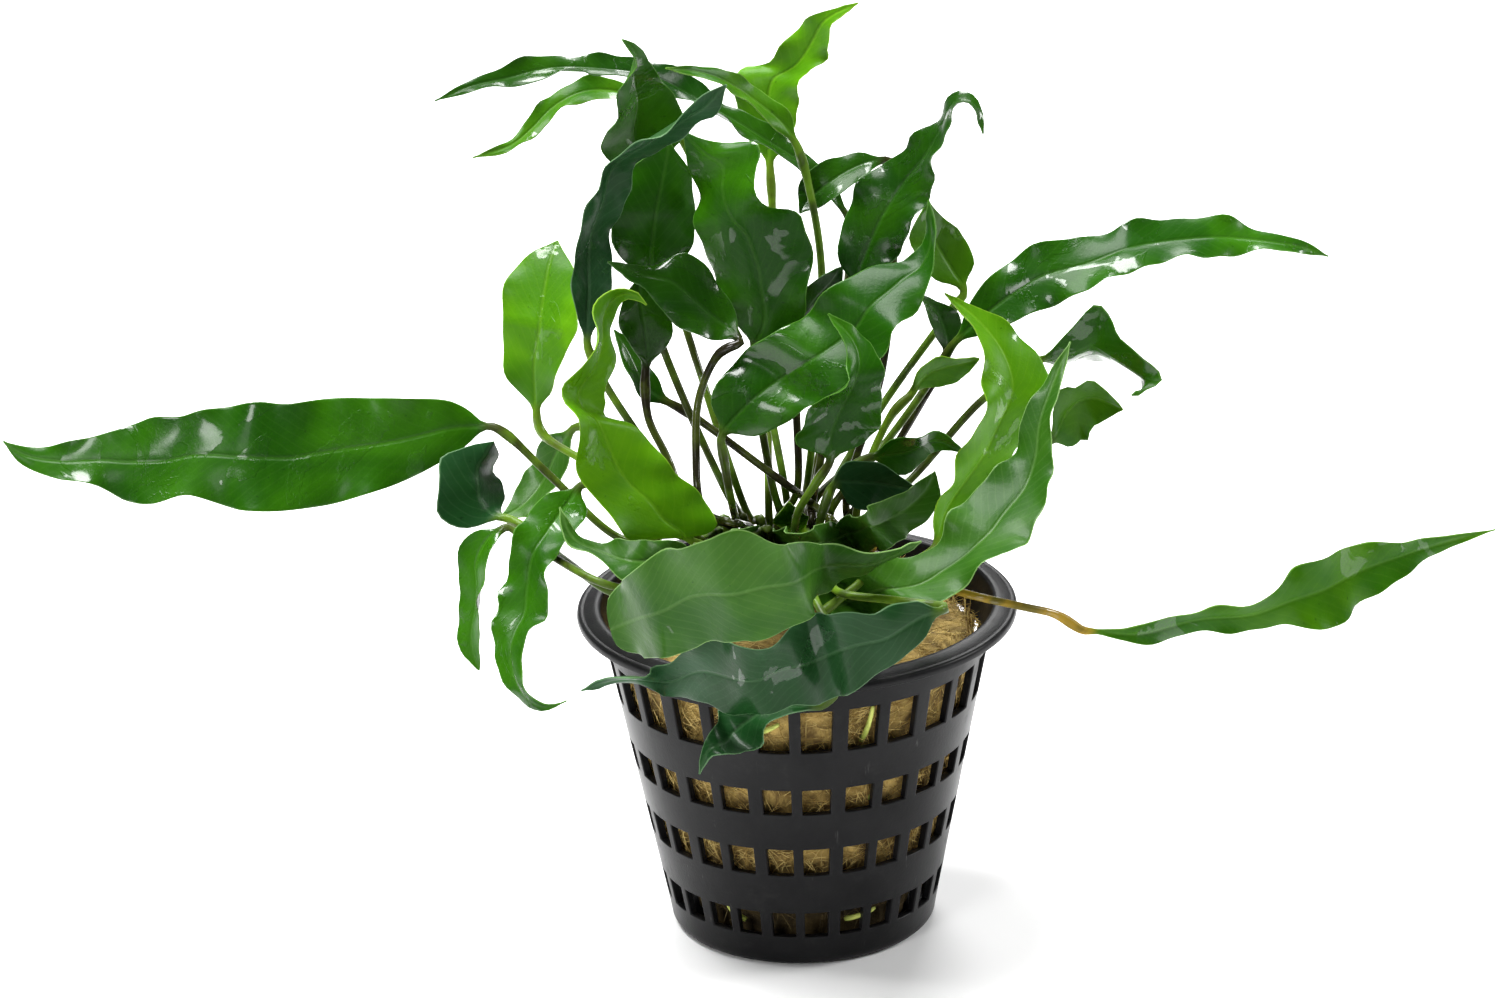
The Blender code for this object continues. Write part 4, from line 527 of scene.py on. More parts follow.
class Shader:
    """A small helper that adds nodes to one material and joins them."""

    def __init__(self, name: str) -> None:
        """Start a material with its Principled shader."""
        self.material = bpy.data.materials.new(name)
        self.material.use_nodes = True
        self.tree = self.material.node_tree
        self.principled = self.tree.nodes["Principled BSDF"]

    def node(self, kind: str, **settings: object) -> bpy.types.Node:
        """Add a node to the material.

        Args:
            kind: The node's type.
            settings: Its properties.

        Returns:
            The node.
        """
        made = self.tree.nodes.new(kind)
        for key, value in settings.items():
            setattr(made, key, value)
        return made

    def link(self, output: bpy.types.NodeSocket, target: bpy.types.NodeSocket) -> None:
        """Join an output to an input."""
        self.tree.links.new(output, target)

    def feed(self, target: bpy.types.NodeSocket, value: object) -> None:
        """Join a socket to an input, or set the input to a plain value.

        Args:
            target: The input.
            value: An output of another node, a number or a colour.
        """
        if isinstance(value, bpy.types.NodeSocket):
            self.link(value, target)
        elif isinstance(value, (tuple, list)) and len(value) == 3 and target.type == "RGBA":
            target.default_value = (*value, 1.0)
        else:
            target.default_value = value

    def math(self, operation: str, *values: object) -> bpy.types.NodeSocket:
        """Combine values by a Math node.

        Args:
            operation: The node's operation.
            values: Sockets or numbers.

        Returns:
            The result.
        """
        made = self.node("ShaderNodeMath", operation=operation)
        for socket, value in zip(made.inputs, values):
            self.feed(socket, value)
        return made.outputs[0]

    def times(self, one: object, two: object) -> bpy.types.NodeSocket:
        """Multiply two values."""
        return self.math("MULTIPLY", one, two)

    def plus(self, one: object, two: object) -> bpy.types.NodeSocket:
        """Add two values."""
        return self.math("ADD", one, two)

    def minus(self, one: object, two: object) -> bpy.types.NodeSocket:
        """Take the second value from the first."""
        return self.math("SUBTRACT", one, two)

    def ramp(self, value: object, low: float, high: float, to_low: float = 0.0,
             to_high: float = 1.0) -> bpy.types.NodeSocket:
        """Turn a value into a smooth step.

        Args:
            value: The socket or number.
            low: Where the step begins.
            high: Where it ends.
            to_low: The result up to there.
            to_high: The result from there on.

        Returns:
            The result.
        """
        made = self.node("ShaderNodeMapRange", interpolation_type="SMOOTHSTEP")
        for key, entry in (("Value", value), ("From Min", low), ("From Max", high),
                           ("To Min", to_low), ("To Max", to_high)):
            self.feed(made.inputs[key], entry)
        return made.outputs["Result"]

    def mix(self, share: object, first: object, second: object) -> bpy.types.NodeSocket:
        """Blend two colours.

        Args:
            share: How much of the second one.
            first: The first colour.
            second: The second colour.

        Returns:
            The blend.
        """
        made = self.node("ShaderNodeMix", data_type="RGBA")
        self.feed(made.inputs["Factor"], share)
        self.feed(made.inputs[6], first)
        self.feed(made.inputs[7], second)
        return made.outputs[2]

    def tint(self, colour: object, other: object, share: object,
             amount: float) -> bpy.types.NodeSocket:
        """Blend a part of another colour into a colour.

        Args:
            colour: The colour.
            other: The other one.
            share: Where it shows, from 0 to 1.
            amount: How much of it shows there.

        Returns:
            The blend.
        """
        return self.mix(self.times(share, amount), colour, other)

    def noise(self, scale: float, detail: float = 3.0, rough: float = 0.5,
              twist: float = 0.0, vector: object = None) -> bpy.types.NodeSocket:
        """Add a noise.

        Args:
            scale: Its scale, in waves to the metre on Object coordinates.
            detail: Its octaves.
            rough: How strong the finer octaves are.
            twist: How much it is distorted.
            vector: Where it is read; Object coordinates when left out.

        Returns:
            Its value.
        """
        made = self.node("ShaderNodeTexNoise")
        self.feed(made.inputs["Scale"], scale)
        self.feed(made.inputs["Detail"], detail)
        self.feed(made.inputs["Roughness"], rough)
        self.feed(made.inputs["Distortion"], twist)
        if vector is None:
            vector = self.node("ShaderNodeTexCoord").outputs["Object"]
        self.link(vector, made.inputs["Vector"])
        return made.outputs["Fac"]

    def stretched(self, x: float, y: float, z: float) -> bpy.types.NodeSocket:
        """Multiply the Object coordinates along each axis.

        Args:
            x: Factor along X.
            y: Factor along Y.
            z: Factor along Z.

        Returns:
            The stretched coordinates.
        """
        made = self.node("ShaderNodeMapping")
        self.link(self.node("ShaderNodeTexCoord").outputs["Object"], made.inputs["Vector"])
        made.inputs["Scale"].default_value = (x, y, z)
        return made.outputs["Vector"]

    def value(self, name: str) -> bpy.types.NodeSocket:
        """Read a number stored on the piece's vertices."""
        return self.node("ShaderNodeAttribute", attribute_name=name).outputs["Fac"]

    def bump(self, height: object, distance: float) -> None:
        """Raise the surface's shading by a height.

        Args:
            height: The height, from 0 to 1.
            distance: How far 1 stands for, in metres.
        """
        made = self.node("ShaderNodeBump")
        made.inputs["Distance"].default_value = distance
        made.inputs["Strength"].default_value = 1.0
        self.feed(made.inputs["Height"], height)
        self.link(made.outputs["Normal"], self.principled.inputs["Normal"])

    def dress(self, **inputs: object) -> bpy.types.Material:
        """Set the Principled shader's own sockets.

        Args:
            inputs: Sockets, numbers or colours by their short names.

        Returns:
            The material.
        """
        names = {"colour": "Base Color", "roughness": "Roughness", "coat": "Coat Weight",
                 "coat_roughness": "Coat Roughness", "specular": "Specular IOR Level"}
        for key, value in inputs.items():
            self.feed(self.principled.inputs[names[key]], value)
        return self.material


class Green(Enum):
    """The plant's leaf greens. The shade green is the deep green darkened to about six tenths as
    painted shade, and the blue green's blue-grey tint is a painted sheen.
    """

    BRIGHT = "bright"
    FRESH = "fresh"
    DEEP = "deep"
    SATIN = "satin"
    BLUE = "blue"
    SHADE = "shade"
    AMBER = "amber"


@dataclass(frozen=True)
class LeafFinish:
    """A leaf's skin: two greens, its pale lines, its stalk, and how wet it looks."""

    name: str
    dark: tuple
    light: tuple
    vein: tuple
    under: tuple
    stalk: tuple
    stalk_dark: tuple
    roughness: float
    wet: float
    coat: float

    def material(self) -> bpy.types.Material:
        """Build the skin.

        The colour blends the two greens by a broad noise, then adds slanting side veins,
        the midrib and a pale margin by millimetres measured over the blade, and gives the
        stalk its own streaked colour. Wet patches are smoother.

        Returns:
            The material.
        """
        shader = Shader(self.name)
        reach = shader.node("ShaderNodeUVMap", uv_map="reach")
        parts = shader.node("ShaderNodeSeparateXYZ")
        shader.link(reach.outputs["UV"], parts.inputs["Vector"])
        along = shader.times(parts.outputs["X"], MM_PER_REACH)
        aside = shader.minus(parts.outputs["Y"], 0.5)
        aside = shader.times(aside, MM_PER_REACH)
        aside = shader.math("ABSOLUTE", aside)
        drift = shader.times(shader.noise(140.0, 2.0), 2.4)
        phase = shader.minus(along, shader.times(aside, VEIN_SLANT))
        phase = shader.times(shader.plus(phase, drift), VEINS_PER_MM)
        beat = shader.math("PINGPONG", phase, 0.5)
        veins = shader.ramp(beat, 0.0, 0.14, 1.0, 0.0)
        midrib = shader.ramp(aside, 0.06, 0.42, 1.0, 0.0)
        blade = shader.value("blade")
        upper = shader.ramp(shader.value("side"), -0.15, 0.05)
        margin = shader.ramp(shader.value("rim"), 0.04, 0.2, 1.0, 0.0)
        broad = shader.ramp(shader.noise(55.0, 4.0, rough=0.55, twist=0.5), 0.36, 0.66)
        colour = shader.mix(broad, self.dark, self.light)
        cloud = shader.ramp(shader.noise(210.0, 3.0, rough=0.6, twist=0.8), 0.42, 0.7)
        colour = shader.tint(colour, self.dark, cloud, 0.3)
        fleck = shader.ramp(shader.noise(1300.0, 2.0, rough=0.6), 0.69, 0.76)
        colour = shader.tint(colour, tuple(0.3 * part for part in self.dark), fleck, 0.5)
        colour = shader.tint(colour, self.vein, veins, 0.03)
        colour = shader.tint(colour, self.under, shader.minus(1.0, upper), 0.5)
        colour = shader.tint(colour, self.vein, midrib, 0.07)
        colour = shader.tint(colour, self.vein, margin, 0.4)
        streak = shader.ramp(shader.noise(160.0, 3.0, rough=0.6, twist=0.6), 0.4, 0.62)
        stalk = shader.mix(streak, self.stalk_dark, self.stalk)
        colour = shader.mix(shader.ramp(blade, 0.1, 0.9), stalk, colour)
        patches = shader.noise(75.0, 4.0, rough=0.6, twist=1.3)
        wet = shader.ramp(patches, 0.66 - 0.24 * self.wet, 0.68 - 0.24 * self.wet)
        wet = shader.times(wet, upper)
        rough = shader.ramp(wet, 0.0, 1.0, self.roughness, WET_ROUGHNESS)
        grain = shader.times(shader.noise(2600.0, 2.0), 0.25)
        pucker = shader.times(shader.noise(260.0, 3.0), 1.3)
        film = shader.times(wet, shader.noise(1100.0, 3.0, rough=0.6, twist=1.4))
        height = shader.plus(shader.times(beat, 0.06), grain)
        height = shader.plus(height, pucker)
        height = shader.plus(height, shader.times(film, 0.7))
        height = shader.minus(height, shader.times(midrib, 0.6))
        height = shader.times(height, shader.ramp(blade, 0.2, 1.0, 0.25, 1.0))
        shader.bump(height, 0.1 * MM)
        gloss = shader.ramp(wet, 0.0, 1.0, self.coat, self.coat + WET_COAT)
        return shader.dress(colour=colour, roughness=rough, coat=gloss,
                            coat_roughness=0.14, specular=0.08)


FINISHES = {
    Green.BRIGHT: LeafFinish("leaf_skin_bright", (0.038, 0.140, 0.001),
                             (0.080, 0.235, 0.002), (0.34, 0.56, 0.05), (0.09, 0.24, 0.01),
                             (0.11, 0.21, 0.01), (0.07, 0.11, 0.01), 0.38, 0.3, 0.02),
    Green.FRESH: LeafFinish("leaf_skin_fresh", (0.016, 0.082, 0.001),
                            (0.040, 0.130, 0.001), (0.20, 0.38, 0.06), (0.06, 0.16, 0.01),
                            (0.08, 0.16, 0.01), (0.04, 0.07, 0.01), 0.38, 0.3, 0.03),
    Green.DEEP: LeafFinish("leaf_skin_deep", (0.007, 0.047, 0.0005),
                           (0.021, 0.098, 0.001), (0.12, 0.27, 0.05), (0.035, 0.11, 0.01),
                           (0.07, 0.13, 0.01), (0.03, 0.04, 0.006), 0.33, 0.5, 0.04),
    Green.SATIN: LeafFinish("leaf_skin_satin", (0.014, 0.062, 0.003),
                            (0.030, 0.098, 0.006), (0.30, 0.50, 0.16), (0.06, 0.15, 0.02),
                            (0.07, 0.13, 0.01), (0.04, 0.06, 0.01), 0.40, 0.0, 0.05),
    # Partly painted sheen: a dull leaf green with a blue-grey tint painted in for the sheen on these
    # leaves.
    Green.BLUE: LeafFinish("leaf_skin_blue", (0.006, 0.034, 0.007),
                           (0.017, 0.058, 0.022), (0.16, 0.30, 0.14), (0.03, 0.08, 0.02),
                           (0.09, 0.17, 0.01), (0.04, 0.07, 0.01), 0.34, 0.1, 0.06),
    # Painted shade: the deep green's colours darkened to about six tenths, for leaves lying in shadow.
    Green.SHADE: LeafFinish("leaf_skin_shade", (0.004, 0.028, 0.001),
                            (0.013, 0.060, 0.001), (0.08, 0.18, 0.05), (0.02, 0.07, 0.01),
                            (0.045, 0.06, 0.008), (0.014, 0.012, 0.005), 0.28, 0.6, 0.05),
    Green.AMBER: LeafFinish("leaf_skin_amber", (0.016, 0.082, 0.001),
                            (0.040, 0.130, 0.001), (0.20, 0.38, 0.06), (0.06, 0.16, 0.01),
                            (0.30, 0.19, 0.02), (0.10, 0.08, 0.012), 0.36, 0.4, 0.03),
}


@dataclass(frozen=True)
class Habit:
    """How one leaf's blade is bent, beyond the points of its margins.

    fold is how steeply the margins rise, ruffle the height of their waves and wave their
    length in millimetres, and seed sets their phase.
    """

    green: Green
    fold: float = 0.14
    ruffle: float = 0.7
    wave: float = 12.0
    seed: int = 1


HABITS = {
    "leaf_far_left": Habit(Green.DEEP, 0.08, 0.7, 15.0, 3),
    "leaf_dark_curl": Habit(Green.BLUE, -0.35, 0.5, 9.0, 4),
    "leaf_left_twist": Habit(Green.DEEP, 0.35, 0.3, 8.0, 5),
    "leaf_grey_left": Habit(Green.SATIN, 0.2, 0.5, 9.0, 6),
    "leaf_left_tail": Habit(Green.DEEP, 0.2, 0.7, 9.0, 7),
    "leaf_bright_wave": Habit(Green.BRIGHT, 0.18, 0.9, 14.0, 8),
    "leaf_rim_left": Habit(Green.SATIN, 0.2, 0.5, 9.0, 9),
    "leaf_front_broad": Habit(Green.SATIN, -0.08, 0.6, 14.0, 10),
    "leaf_bright_oval": Habit(Green.BRIGHT, 0.1, 0.5, 12.0, 11),
    "leaf_long_arch": Habit(Green.SHADE, 0.3, 0.5, 12.0, 12),
    "leaf_arch_under": Habit(Green.FRESH, 0.25, 0.5, 9.0, 13),
    "leaf_hooked_top": Habit(Green.DEEP, 0.4, 0.5, 9.0, 14),
    "leaf_dark_sweep": Habit(Green.BLUE, 0.3, 0.7, 12.0, 15),
    "leaf_broad_wet": Habit(Green.DEEP, -0.12, 0.5, 11.0, 16),
    "leaf_broad_pale": Habit(Green.DEEP, -0.12, 1.0, 14.0, 17),
    "leaf_dark_point": Habit(Green.SHADE, 0.3, 0.4, 9.0, 18),
    "leaf_dark_hidden": Habit(Green.SHADE, 0.2, 0.3, 8.0, 19),
    "leaf_left_point": Habit(Green.SHADE, 0.12, 0.6, 10.0, 20),
    "leaf_dark_diagonal": Habit(Green.DEEP, 0.12, 0.8, 13.0, 21),
    "leaf_small_upright": Habit(Green.DEEP, 0.2, 0.7, 8.0, 22),
    "leaf_dark_low": Habit(Green.BLUE, 0.2, 0.3, 8.0, 23),
    "leaf_rim_back": Habit(Green.SATIN, 0.2, 0.6, 10.0, 24),
    "leaf_thread_tip": Habit(Green.DEEP, 0.2, 0.4, 8.0, 25),
    "leaf_gable": Habit(Green.DEEP, -0.4, 0.4, 9.0, 26),
    "leaf_crumpled_right": Habit(Green.FRESH, 0.3, 0.9, 7.0, 27),
    "leaf_bright_twist": Habit(Green.BRIGHT, 0.22, 0.8, 12.0, 28),
    "leaf_long_right": Habit(Green.DEEP, 0.1, 0.7, 13.0, 29),
    "leaf_pale_small": Habit(Green.BRIGHT, 0.3, 0.5, 8.0, 30),
    "leaf_pale_pointed": Habit(Green.FRESH, 0.2, 0.4, 8.0, 31),
    "leaf_front_right": Habit(Green.SATIN, 0.2, 0.7, 11.0, 32),
    "leaf_front_low": Habit(Green.BLUE, 0.05, 0.6, 13.0, 33),
    "leaf_front_lowest": Habit(Green.BLUE, 0.2, 0.8, 9.0, 34),
    "leaf_young": Habit(Green.BRIGHT, 0.4, 0.1, 6.0, 35),
    "leaf_top_back": Habit(Green.BRIGHT, 0.2, 0.9, 9.0, 36),
    "leaf_top_arch": Habit(Green.FRESH, 0.3, 0.3, 9.0, 37),
    "leaf_long_thread": Habit(Green.SHADE, 0.14, 0.8, 10.0, 38),
    "leaf_dark_back": Habit(Green.SHADE, 0.3, 0.4, 9.0, 39),
    "leaf_glint": Habit(Green.SHADE, 0.1, 0.3, 8.0, 40),
    "leaf_dark_stub": Habit(Green.SHADE, 0.3, 0.3, 8.0, 41),
    "leaf_far_right": Habit(Green.AMBER, 0.22, 1.0, 12.0, 42),
}


@dataclass
class Leaf:
    """One leaf with its stalk: its settled margins, then a fine skin over them.

    left and right are board places of the two margins at equal steps; along the stalk
    they are the same.
    """

    name: str
    stalk: tuple
    depths: tuple
    lean: float
    first: tuple
    second: tuple
    habit: Habit
    stalk_radius: float = 0.52
    sheath_radius: float = 0.68
    blade_thickness: float = 0.34
    margin_thickness: float = 0.16
    groove: float = 0.09
    ridge: float = 0.42
    step: float = 0.8
    side_points: int = 25
    thinnest: float = 0.12
    blade_lead: float = 0.8
    blade_blend: float = 4.0
    sheath_length: float = 9.0
    knuckle_height: float = 0.16
    knuckle_place: float = 2.2
    knuckle_length: float = 1.8
    rib_width: float = 0.55
    rib_fade: float = 14.0
    fold_limit: float = 1.6
    fold_power: float = 1.25
    fold_level: float = 0.42
    fold_start: float = 5.0
    ruffle_share: float = 0.22
    ruffle_power: float = 2.6
    wave_start: float = 7.0
    wave_end: float = 5.0
    quilt: float = 0.004
    narrow: float = 0.3
    narrow_blend: float = 0.6
    length: float = field(init=False)
    left: np.ndarray = field(init=False, repr=False)
    right: np.ndarray = field(init=False, repr=False)
    stalk_count: int = field(init=False)

    def __post_init__(self) -> None:
        """Order the margins by the turn of their outline, and measure the blade."""
        outline = np.array(tuple(self.first) + tuple(reversed(self.second)), float)
        after = np.roll(outline, -1, axis=0)
        turn = float((outline[:, 0] * after[:, 1] - outline[:, 1] * after[:, 0]).sum())
        if turn > 0:
            self.first, self.second = self.second, self.first
            self.lean = -self.lean
        self.length = (path_length(self.first) + path_length(self.second)) / 2

    def lay_out(self, seat: np.ndarray, direction: np.ndarray, step: float) -> None:
        """Work out the margins from the seat to the tip.

        Each margin is a soft curve through its points, at a depth that is interpolated
        from base to tip and leans across the blade by a sine; the stalk is a soft curve
        from the seat to the blade.

        Args:
            seat: The stalk's first place on the rhizome.
            direction: The way in which it leaves the rhizome.
            step: Spacing of the steps in millimetres.
        """
        share = np.linspace(0.0, 1.0, max(5, round(self.length / step)) + 1)
        sides = [smooth_path(margin, share) for margin in (self.first, self.second)]
        depth = np.interp(share, (0.0, 0.5, 1.0), self.depths)
        tilt = LEAN_SHARE * self.lean * np.sin(pi * share)
        left = stand_up(np.column_stack((sides[0], depth + tilt)))
        right = stand_up(np.column_stack((sides[1], depth - tilt)))
        start = to_board(np.array((seat, seat + SEAT_RISE * direction)))
        route = np.vstack((start, stand_up(self.stalk), ((left + right) / 2)[:2]))
        count = max(3, round(path_length(route) / step))
        rungs = smooth_path(route, np.linspace(0.0, 1.0, count + 1))[:-1]
        self.left, self.right = np.vstack((rungs, left[1:])), np.vstack((rungs, right[1:]))
        self.stalk_count = len(rungs)

    def frame(self, left: np.ndarray, right: np.ndarray) -> tuple:
        """Set up the directions of each step.

        Where the blade is narrow, the width runs square to the line of sight; the
        thickness directions are averaged along the leaf.

        Args:
            left: Board places of the left margin.
            right: Board places of the right margin.

        Returns:
            Middle, direction of the width, direction of the thickness and half width.
        """
        left, right = on_board(left), on_board(right)
        middle = (left + right) / 2
        ahead = unit(np.gradient(middle, axis=0))
        half = (right - left) / 2
        width = np.linalg.norm(half, axis=1)
        share = np.clip((width - self.narrow) / self.narrow_blend, 0.0, 1.0)[:, None]
        heading = unit(unit(np.cross(ahead, FACE)) * (1 - share) + share * unit(half))
        normal = unit(np.cross(heading, ahead))
        for _ in range(4):
            normal[1:-1] = unit(normal[:-2] + 2 * normal[1:-1] + normal[2:])
        return middle, heading, normal, width

    def skin(self) -> tuple:
        """Work out the fine surface of the leaf, and what its material reads.

        Along the leaf run stations a step apart, and round each runs a ring: a circle on
        the stalk, and on the blade a thin lens with the relief.

        Returns:
            Places, the number of stations and of ring points, and the blade, side and
            rim values and the along and across distances of each place.
        """
        middle = (on_board(self.left) + on_board(self.right)) / 2
        count = round(path_length(middle) / self.step)
        left, right = finer(self.left, count), finer(self.right, count)
        middle, heading, normal, width = self.frame(left, right)
        run = np.concatenate(((0.0,), np.cumsum(np.linalg.norm(np.diff(middle, axis=0), axis=1))))
        split = np.interp(self.stalk_count - 1, np.linspace(0, len(self.left) - 1, count), run)
        blade = soft_step((run - split + self.blade_lead) / self.blade_blend)
        base = self.stalk_radius + ((self.sheath_radius - self.stalk_radius)
                                    * soft_step(1 - run / self.sheath_length))
        knuckle = np.exp(-((run - split + self.knuckle_place) / self.knuckle_length) ** 2)
        round_radius = base + self.knuckle_height * knuckle
        half = np.maximum(width, round_radius * (1 - blade) + self.thinnest * blade)
        v, angle, upper = self.ring()
        b, w, s = blade[:, None], half[:, None], (run - split)[:, None]
        across = v * w
        height = self.relief(s, (run[-1] - run)[:, None], v, w, upper)
        stalk = (1 - b) * round_radius[:, None]
        aside = stalk * np.cos(angle) + b * across
        lifted = stalk * np.sin(angle) + b * height
        places = (middle[:, None, :] + aside[..., None] * heading[:, None, :]
                  + lifted[..., None] * normal[:, None, :])
        shape = aside.shape
        reach = np.stack((np.broadcast_to(s, shape) / MM_PER_REACH, 0.5 + across / MM_PER_REACH),
                         axis=-1)
        return places, shape, {"blade": np.broadcast_to(b, shape),
                               "side": np.broadcast_to(upper, shape),
                               "rim": (1 - np.abs(v)) * w}, reach

    def ring(self) -> tuple:
        """Lay out one ring, along the lower side and back over the upper one.

        Returns:
            Share of the half width from -1 to 1, angle round the stalk and side, -1 below
            and 1 above, of each of its places.
        """
        t = np.linspace(-1.0, 1.0, self.side_points)
        spread = t - 0.12 * np.sin(2 * pi * t)
        turn = pi * (1 - t) / 2
        v = np.concatenate((spread[::-1], spread[1:-1]))
        angle = np.concatenate((-turn[::-1], turn[1:-1]))
        upper = np.concatenate((-np.ones(self.side_points), np.ones(self.side_points - 2)))
        upper[0] = upper[self.side_points - 1] = 0.0
        return v[None, :], angle[None, :], upper[None, :]

    def relief(self, s: np.ndarray, rest: np.ndarray, v: np.ndarray, w: np.ndarray,
               upper: np.ndarray) -> np.ndarray:
        """Work out the height of the blade's skin over its middle.

        A fold grows with the distance from the midrib, each margin is waved by two sines
        of unlike length, side veins quilt the skin, and the midrib is pressed in above
        and stands out below.

        Args:
            s: Distance from the blade's base.
            rest: Distance to its tip.
            v: Share of the half width.
            w: Half width.
            upper: Side, -1 below and 1 above.

        Returns:
            A height for each place.
        """
        ends = soft_step(s / self.wave_start) * soft_step(rest / self.wave_end)
        habit = self.habit
        wave = 2 * pi * s / habit.wave
        lift = np.where(v > 0, np.sin(wave + habit.seed), np.sin(1.13 * wave + 2.1 * habit.seed))
        lift = lift + 0.45 * np.where(v > 0, np.sin(2.3 * wave + 0.7 * habit.seed),
                                      np.sin(2.05 * wave + 1.9 * habit.seed))
        ruffle = np.minimum(habit.ruffle, self.ruffle_share * w) * np.abs(v) ** self.ruffle_power
        ruffle = ruffle * lift * ends
        fold = habit.fold * w * (np.abs(v) ** self.fold_power - self.fold_level)
        fold = np.clip(fold, -self.fold_limit, self.fold_limit) * soft_step(s / self.fold_start)
        across = v * w
        beat = np.cos(2 * pi * VEINS_PER_MM * (s - VEIN_SLANT * np.abs(across)))
        quilt = self.quilt * beat * (1 - v**2) * ends
        thick = self.margin_thickness + (self.blade_thickness - self.margin_thickness) * (1 - v**2)
        body = upper * thick / 2
        rib = np.exp(-(across / self.rib_width) ** 2) * soft_step(rest / self.rib_fade)
        body = body - np.where(upper > 0, self.groove, self.ridge) * rib * (np.abs(upper) > 0)
        return body + fold + ruffle + quilt

    def build(self, finish: bpy.types.Material, slot: str) -> None:
        """Make the leaf's mesh, store its values and put it in its solid's place.

        Args:
            finish: The leaf's skin.
            slot: The record's slot of its solid.
        """
        places, (stations, ring), values, reach = self.skin()
        name = self.name.removeprefix("leaf_") + "_leaf"
        piece = add_mesh(name, places, tube_faces(stations, ring), finish, SOFT_EDGES)
        for key, numbers in values.items():
            paint(piece.data, key, numbers)
        paint_uv(piece.data, reach.reshape(-1, 2))
        hand_over(piece, slot, self.name)


